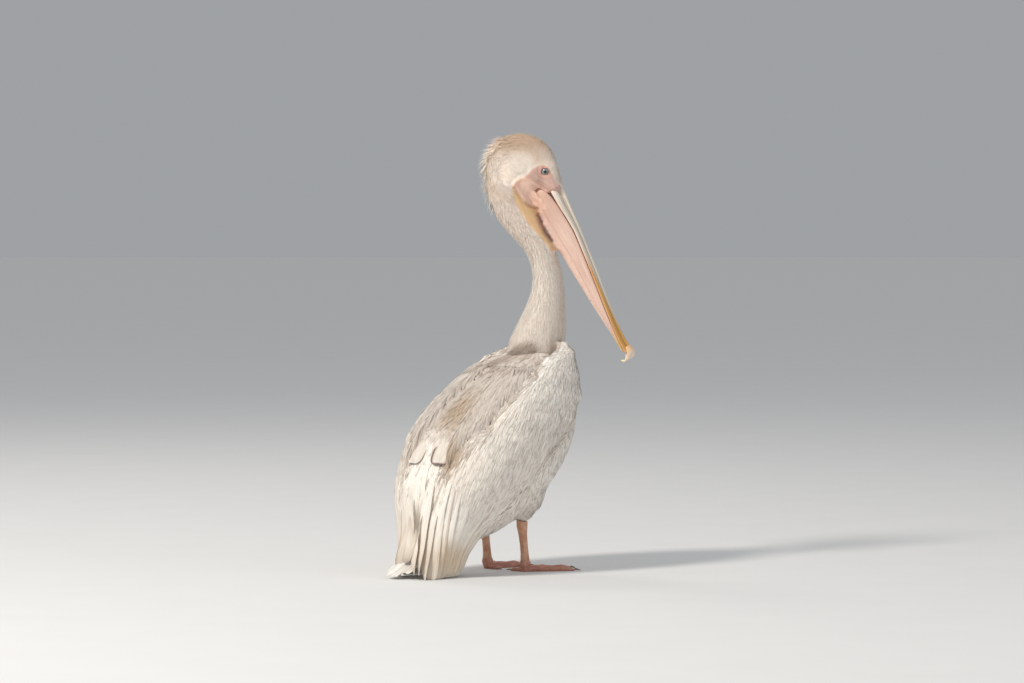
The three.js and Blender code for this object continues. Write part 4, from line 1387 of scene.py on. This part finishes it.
place = np.linspace(-1, 1, TAIL_FEATHERS)
down_tail = TAIL_TIP - TAIL_ROOT
tail_length = np.linalg.norm(down_tail)
down_tail = down_tail / tail_length
tail_up = np.array([down_tail[2], 0, -down_tail[0]])
fan_way = np.cos(place * TAIL_HALF_SPREAD)[:, None] * down_tail
fan_way = fan_way + np.sin(place * TAIL_HALF_SPREAD)[:, None] * np.array([0, 1.0, 0])
uneven = rng.uniform(0.93, 1, TAIL_FEATHERS)
down = 1 - (1 - np.linspace(0, 1, QUILL_RINGS)) ** TIP_CROWDING
reach = (0.12 + 0.88 * down)[:, None, None] * tail_length * (uneven * (1 - 0.1 * place**2))[:, None]
layer = (1 - np.abs(place)) * 8 * MM - 5 * MM
arch = (1 - down)[:, None] ** 2 * 4 * MM
centres = TAIL_ROOT + fan_way * reach + tail_up * (layer - arch)[..., None]
half = sweep_of(TAIL_SHAPE, QUILL_RINGS)[:, None] * np.full(TAIL_FEATHERS, TAIL_HALF_WIDTH)
ways = np.broadcast_to(fan_way, centres.shape)
ups = np.broadcast_to(tail_up, centres.shape)
tail_colours = BRIGHT_WHITE * (1 - 0.12 * rng.random((1, TAIL_FEATHERS, 1))) * np.ones(centres.shape)
chance = rng.random(TAIL_FEATHERS) * 0.9
unmapped = np.zeros((TAIL_FEATHERS, 2))  # the tail has no picture of its own to be baked
tail_vanes = Vanes(ROLLED)
camber, roll = half * 0 + TAIL_CAMBER, 0.13 * place
tail_vanes.add(centres, ups, ways, half, camber, roll, tail_colours, unmapped, chance)
tail_fan = tail_vanes.build("tail_fan", coat_look, coat=False)
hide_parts("tail")

# %% [markdown]
# Down covers the head and neck in short fine tufts that stand out only a little. On the nape they
# are longer and stand up as a ragged crest.

# %% Down of neck and head
TUFT = (0.8, 1, 0.1)
SPIKE = (0.8, 1, 0.8, 0.5, 0.1)
NAPE = [(-99, -62), (-92, -90), (-66, -112), (-35, -128), (10, -138), (26, -142)]
feathered = face_bare < 0.4
head_x, head_y, head_z = in_head(face_centre).T
on_neck = part_of_face["neck"] & feathered
on_head = (part_of_face["head"] | part_of_face["pouch"] & (head_x < 45)) & feathered
fuzz = Vanes()
clothe(fuzz, rng, on_neck, 3.0, 10, 1.4, 4.8, 3, TUFT, 0.3, stray=0.25, sink=0.3, uneven=0.05)
fuzz.build("neck_down", coat_look)
fuzz = Vanes()
clothe(fuzz, rng, on_head, 2.4, 7, 1.1, 3.2, 3, TUFT, 0.3, stray=0.25, sink=0.3, uneven=0.05)
fuzz.build("head_down", coat_look)
crest = Vanes()
by_nape = (np.abs(head_y) < 26) & (from_line(head_x, head_z, NAPE) < 15)
nape = (on_neck | on_head) & by_nape & (over > 0.7)
# painted light: the crest's colours are made a quarter brighter
clothe(crest, rng, nape, 5.2, 15, 1.7, 15, 5, SPIKE, 0.3, stray=0.4, sink=0.3, painted_glow=1.25)
crown = on_head & (over > 0.86) & (head_x < 20)
clothe(crest, rng, crown, 3.6, 9, 1.4, 5, 4, (0.8, 1, 0.6, 0.1), 0.3, stray=0.3, sink=0.3)
crest.build("nape_crest", coat_look)


# %% [markdown]
# Long, round pieces such as the bill are grids rolled into tubes. A grid of faces is made flat,
# each of its points is then placed by how far along and how far round it lies, and the two edges
# that meet are merged. The grid's own coordinates stay as the piece's UV map, so that grain and
# streaks can run along it.

# %% Rolled pieces
def rolled(name, place, along_count, around_count, look, nodes=(), merge=1e-6):
    """place(u, v) gives arrays of points for u along, 0 to 1, and v round, 0 to 1."""
    bm = bmesh.new()
    bmesh.ops.create_grid(bm, x_segments=along_count, y_segments=around_count, size=0.5)
    flat = np.array([vert.co for vert in bm.verts])
    u, v = flat[:, 0] + 0.5, flat[:, 1] + 0.5
    layer = bm.loops.layers.uv.new("Run")
    for face in bm.faces:
        for loop in face.loops:
            loop[layer].uv = (u[loop.vert.index], v[loop.vert.index])
    for vert, point in zip(bm.verts, place(u, v)):
        vert.co = point
    bmesh.ops.remove_doubles(bm, verts=bm.verts, dist=merge)
    bmesh.ops.holes_fill(bm, edges=bm.edges)
    bmesh.ops.recalc_face_normals(bm, faces=bm.faces)
    piece = link_mesh(name, mesh_of(name, bm))
    piece.data.materials.append(look)
    piece.data.shade_smooth()
    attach(piece, "root")
    if nodes:
        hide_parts(*nodes)
    print(name, "faces:", len(piece.data.polygons))
    return piece


# %% [markdown]
# Smooth shapes are read off short tables. A curve through points gives a section's outline, and a
# table of rows, one to a place along the piece, gives its heights and widths.

# %% Smooth tables
def curve(t, points):
    """A smooth curve through points, evenly spaced in t from 0 to 1."""
    points = np.asarray(points, float)
    place = np.clip(t, 0, 1) * (len(points) - 1)
    i = np.minimum(place.astype(int), len(points) - 2)
    f = (place - i)[:, None]
    a, b = points[np.maximum(i - 1, 0)], points[i]
    c, d = points[i + 1], points[np.minimum(i + 2, len(points) - 1)]
    bend, twist = 2 * a - 5 * b + 4 * c - d, 3 * b - a - 3 * c + d
    return 0.5 * (2 * b + (c - a) * f + bend * f**2 + twist * f**3)


def smooth_along(x, rows):
    """Rows of a table, sorted by their first column, read smoothly at x."""
    rows = np.asarray(rows, float)
    return curve(np.interp(x, rows[:, 0], np.linspace(0, 1, len(rows))), rows[:, 1:])


def section(x, top, bottom, half_width, outline, v):
    """Points of a section round v, from its top's middle down the left side and back up."""
    across, depth = curve(1 - np.abs(2 * v - 1), outline).T
    side = np.where(v <= 0.5, 1, -1)
    return from_head(np.stack([x, side * across * half_width, top + (bottom - top) * depth], -1))


print("a table read smoothly at 2:", smooth_along(np.array([2.0]), [(0, 0), (4, 1), (10, 3)]))

# %% [markdown]
# The bill's upper half is a long flat plate with a rounded ridge down its middle and a hooked nail
# at the end. A groove parts the ridge from each side. Under it, the two thin rods of the lower jaw
# hold the pouch, folded between them, so one closed piece stands for both. The horn is pale at the
# base and warms to yellow and orange along the ridge, and the lower bill is pink with fine streaks.

# %% Bill material
def bill_material(name, ridge):
    """Horn with fine streaks that run along the bill; ridge paints the middle of the top."""
    paint = Paint(name, Roughness=0.42, Coat_Weight=0.12, Coat_Roughness=0.35)
    u, v = paint.along_and_round()
    down = 1 - abs(v - 0.5) * 2  # 0 on the ridge, 1 in the middle of the underside
    lines = paint.noise(paint.node("CombineXYZ", {}, {0: u * 5, 1: v * 90}), 1, 4, 0.65)
    patches = paint.noise(paint.node("CombineXYZ", {}, {0: u * 22, 1: v * 14}), 1, 3)
    pink = paint.mix(lines.between(0.35, 0.65), rgb(216, 176, 160), rgb(235, 206, 190))
    if ridge:
        pale = paint.mix(lines.between(0.35, 0.6), rgb(206, 190, 170), rgb(246, 235, 217))
        warm = paint.mix(lines.between(0.3, 0.7), rgb(214, 140, 56), rgb(238, 188, 98))
        orange = (u + (down - 0.45) * 0.75).between(0.46, 0.64)
        colour = paint.mix(orange, pale, warm)
        groove = down.between(0.2, 0.27) * down.between(0.36, 0.3)
        colour = paint.mix(groove * 0.45, colour, rgb(140, 104, 78))
        colour = paint.mix(down.between(0.64, 0.72), colour, pink)
    else:
        colour = paint.mix(u.between(0.3, 0.02) * 0.85, pink, rgb(208, 168, 146))
        colour = paint.mix(u.between(0.82, 0.98) * 0.85, colour, rgb(236, 190, 110))
        upper_rim = down.between(0.34, 0.2) * u.between(0.1, 0.4)
        colour = paint.mix(upper_rim * 0.5, colour, rgb(222, 176, 140))
    colour = paint.mix(patches.between(0.55, 0.8) * 0.22, colour, rgb(206, 150, 124))
    return paint.finish(colour, 0.36 + lines * 0.2, lines + patches * 0.5, 0.35, 0.8 * MM)


upper_look = bill_material("upper_bill_horn", True)
lower_look = bill_material("lower_bill_horn", False)
print("bill materials:", upper_look.name, lower_look.name)

# %% [markdown]
# The forms of upper bill and lower bill are tables of millimetres in the head's frame: the distance
# ahead, the top, the bottom and the half width. A section's outline goes from the middle of the top
# round to the middle of the bottom, as shares of the half width and of the depth.

# %% Upper and lower bill
UPPER_BILL = [
    (48, 13.5, -10, 19.5), (56, 14.8, -10, 21.8), (70, 14.8, -9, 22.3), (85, 13.8, -8, 21.6),
    (110, 12.4, -5, 20.6), (147, 10.6, -2.6, 19.2), (190, 7.6, -5.2, 18.4), (240, 3.8, -8.6, 18.4),
    (285, -0.6, -12, 19.8), (330, -4.6, -15.4, 21.6), (362, -6.6, -17.6, 22.6), (395, -6.2, -19.4, 20),
    (424, -4.2, -19, 13.5),
]
RIDGED = [
    (0, 0), (0.14, 0.015), (0.25, 0.08), (0.33, 0.24), (0.4, 0.4), (0.52, 0.45), (0.68, 0.5),
    (0.84, 0.58), (0.95, 0.7), (1, 0.84), (0.97, 0.95), (0.86, 1), (0.6, 0.99), (0.3, 0.97), (0, 0.96),
]
LOWER_BILL = [
    (28, -28, -46, 12), (37, -23.5, -46, 18.5), (48, -17.4, -45.6, 21.8), (60, -13.3, -45, 22.6),
    (80, -9.5, -44, 22.6), (110, -6.4, -41, 20.2), (147, -4, -38, 18.6), (190, -6.4, -35, 17),
    (240, -9.8, -32.5, 16.4), (285, -13, -31, 16.8), (330, -16.4, -29, 17.6), (362, -18.4, -27.5, 17.4),
    (395, -20, -26, 14.5), (418, -20.4, -24.5, 9.5),
]
JAW = [
    (0, 0.06), (0.45, 0.03), (0.8, 0), (0.93, 0.03), (1, 0.12), (1, 0.28), (0.97, 0.46), (0.92, 0.64),
    (0.85, 0.82), (0.76, 0.96), (0.6, 1), (0.3, 1), (0, 1),
]


def lengthwise(rows, outline):
    def place(u, v):
        x = rows[0][0] + (rows[-1][0] - rows[0][0]) * u
        return section(x, *smooth_along(x, rows).T, outline, v)

    return place


rolled("upper_bill", lengthwise(UPPER_BILL, RIDGED), 150, 64, upper_look, ["bill_upper"])
rolled("lower_bill", lengthwise(LOWER_BILL, JAW), 150, 40, lower_look, ["bill_lower"])

# %% [markdown]
# The nail is a hook at the bill's tip. Its rows bend over and down, so it follows a curve through
# its table instead of going straight ahead.

# %% Nail
NAIL = [
    (412, -2.6, -16, 12.5), (418, -1, -18, 14), (424, 0.4, -20, 14), (430, 0, -23, 12.5),
    (434.5, -2.5, -26, 10.5), (437.6, -7, -29, 8.6), (439, -13, -31.5, 6.6), (438.6, -19.5, -33.2, 5),
    (436.4, -26, -34.6, 3.3), (433.8, -31, -35.4, 1.6), (432.6, -33.6, -35.6, 0.5),
]
DOMED = [
    (0, 0), (0.34, 0.03), (0.64, 0.12), (0.88, 0.3), (1, 0.52), (0.92, 0.74), (0.62, 0.9), (0.3, 0.98),
    (0, 1),
]


def nail_place(u, v):
    return section(*curve(u, NAIL).T, DOMED, v)


nail_paint = Paint("nail_horn", Coat_Weight=0.3, Coat_Roughness=0.2)
nail_u, _ = nail_paint.along_and_round()
nail_cloud = nail_paint.noise(nail_paint.place(), 240, 3)
nail_colour = nail_paint.mix(nail_u.between(0.62, 0.95), rgb(238, 214, 190), rgb(214, 204, 140))
nail_colour = nail_paint.mix(nail_u.between(0.3, 0.05) * 0.7, nail_colour, rgb(230, 178, 110))
nail_look = nail_paint.finish(nail_colour, 0.3 + nail_cloud * 0.15, nail_cloud, 0.2, 0.5 * MM)
rolled("bill_hook", nail_place, 44, 40, nail_look, ["bill_nail"])

# %% [markdown]
# An eye is a ball whose rings run round its axis, so that pupil, iris and rim are exact circles.
# Its material needs only the place along the ball, which is the angle from the axis.

# %% Eye material
eye_paint = Paint("wet_eye", Roughness=0.06, Coat_Weight=1.0, Coat_Roughness=0.03, IOR=1.38)
angle, spoke = eye_paint.along_and_round()
fibres = eye_paint.noise(eye_paint.node("CombineXYZ", {}, {0: angle * 12, 1: spoke * 60}), 1, 3, 0.6)
iris = eye_paint.mix(fibres.between(0.3, 0.7), rgb(92, 100, 104), rgb(158, 166, 168))
iris = eye_paint.mix(angle.between(0.235, 0.28), iris, rgb(38, 36, 38))
iris = eye_paint.mix(angle.between(0.118, 0.105), iris, (0.004, 0.004, 0.005, 1))
eye_look = eye_paint.finish(iris)
print("eye material:", len(eye_paint.tree.nodes), "nodes")

# %% [markdown]
# Each eye looks out to its side and a little ahead. The clear front of the ball bulges slightly.

# %% The eyeball's shape
EYE_CENTRE = (5.0, 16.8, -2.0)
EYE_RADIUS = 9.6
EYE_LOOKS = unit(np.array([[0.12, 1.0, 0.1]]))[0]  # ahead, out to the side and up



def eye_place(side):
    axis = EYE_LOOKS * [1, side, 1]
    first = unit(np.cross(axis, [[1.0, 0, 0]]))[0]
    second = np.cross(axis, first)

    def place(u, v):
        polar, turn = u * math.pi, v * 2 * math.pi * side
        bulge = EYE_RADIUS * (1 + 0.05 * ease(-u, -0.26, 0))
        round_axis = np.cos(turn)[:, None] * first + np.sin(turn)[:, None] * second
        shape = np.cos(polar)[:, None] * axis + np.sin(polar)[:, None] * round_axis
        return from_head(np.array(EYE_CENTRE) * [1, side, 1] + bulge[:, None] * shape)

    return place


print("the right eye looks", unit(np.array([EYE_LOOKS * [1, -1, 1]]))[0].round(2), "in the head's frame")

# %% [markdown]
# The lids are a soft ring of bare skin that closes in on the ball: a second rolled grid, bent round
# into a ring, with its inner edge pressed against the eye.

# %% Eyes and eyelids
LID_OPENING = (8.2, 7.6)  # half length and half height of the gap between the lids
LID_THICKNESS = 1.5
LID_WIDTH = 2.4
lid_paint = Paint("eyelid_skin", Roughness=0.5)
lid_grain = lid_paint.noise(lid_paint.place(), 500, 4)
lid_look = lid_paint.finish(
    lid_paint.mix(lid_grain.between(0.35, 0.65), rgb(214, 146, 122), rgb(232, 178, 156)),
    None, lid_grain, 0.4, 0.6 * MM,
)


def lid_place(side):
    def place(u, v):
        turn, roll = u * 2 * math.pi, v * 2 * math.pi
        inner = np.stack([np.cos(turn) * LID_OPENING[0], np.sin(turn) * LID_OPENING[1]], -1)
        spread = 1 + (LID_WIDTH * (1 - np.cos(roll)) / 2) / 8
        out = EYE_RADIUS * 0.62 + LID_THICKNESS * np.sin(roll) - 1.2 * (1 - np.cos(roll))
        x = EYE_CENTRE[0] + inner[:, 0] * spread + 0.9
        z = EYE_CENTRE[2] + inner[:, 1] * spread + 0.7
        return from_head(np.stack([x, side * (EYE_CENTRE[1] + out), z], -1))

    return place


for name, side in SIDES.items():
    rolled(f"eye_ball_{name}", eye_place(side), 64, 48, eye_look, [f"eye_{name}"], merge=1e-7)
    rolled(f"eyelids_{name}", lid_place(side), 56, 14, lid_look)

# %% [markdown]
# Each leg and its webbed foot are one surface, remeshed from their solids in small cubes and
# smoothed, as the skin was. The soles stay flat on the floor.

# %% A smooth surface from solids


def smooth_copy(name, nodes, voxel, grow, rounds, look):
    """The solids of some nodes as one smooth surface that replaces them."""
    piece = remeshed(name, solid_copy(*nodes), voxel, grow)
    points = smoothed(piece.data, points_of(piece.data), rounds)
    points[:, 2] = np.maximum(points[:, 2], 0)
    move_points(piece.data, points)
    piece.data.materials.clear()
    piece.data.materials.append(look)
    piece.data.shade_smooth()
    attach(piece, "root")
    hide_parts(*nodes)
    print(name, "faces:", len(piece.data.polygons))
    return piece


# %% [markdown]
# The skin of leg and foot is covered in small horny scales. A Voronoi texture gives the distance to
# the nearest scale's edge, which darkens the seams between scales and presses them in.

# %% Materials of foot and claw
foot_paint = Paint("scaly_foot_skin")
foot_place = foot_paint.place()
_, _, height = foot_paint.parts("SeparateXYZ", foot_place)
scale_place = {"Vector": foot_paint.stretched(foot_place, (1, 1, 1.6)), "Scale": 230}
scutes = foot_paint.node("TexVoronoi", {"feature": "DISTANCE_TO_EDGE"}, scale_place)
scale_rim = scutes.between(0.0, 0.14)
mottle = foot_paint.noise(foot_place, 60, 3)
leg_skin = foot_paint.mix(mottle.between(0.35, 0.65), rgb(206, 150, 118), rgb(224, 178, 148))
web_skin = foot_paint.mix(mottle.between(0.35, 0.65), rgb(188, 128, 110), rgb(208, 150, 128))
foot_skin = foot_paint.mix(height.between(0.008, 0.035), web_skin, leg_skin)
foot_skin = foot_paint.mix((1 - scale_rim) * 0.4, foot_skin, rgb(138, 78, 62))
foot_look = foot_paint.finish(foot_skin, 0.42 + mottle * 0.2, scale_rim, 0.5, 0.6 * MM)

claw_paint = Paint("claw_horn", Roughness=0.35, Coat_Weight=0.2)
claw_grain = claw_paint.noise(claw_paint.place(), 300, 3)
claw_colour = claw_paint.mix(claw_grain, rgb(96, 72, 58), rgb(150, 120, 98))
claw_look = claw_paint.finish(claw_colour, None, claw_grain, 0.2, 0.3 * MM)
print("materials:", foot_look.name, claw_look.name)

# %% [markdown]
# The claws are made in the same way as the feet, in smaller cubes, so that their points stay sharp.

# %% Legs, feet and claws
FOOT_VOXEL = 1.3 * MM
CLAW_VOXEL = 0.7 * MM

for side in SIDES:
    foot = [f"leg_{side}", f"foot_{side}"]
    smooth_copy(f"webbed_foot_{side}", foot, FOOT_VOXEL, 0.3 * MM, 10, foot_look)
    claws = [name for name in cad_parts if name.startswith(f"claw_{side}")]
    smooth_copy(f"claws_{side}", claws, CLAW_VOXEL, 0.1 * MM, 4, claw_look)
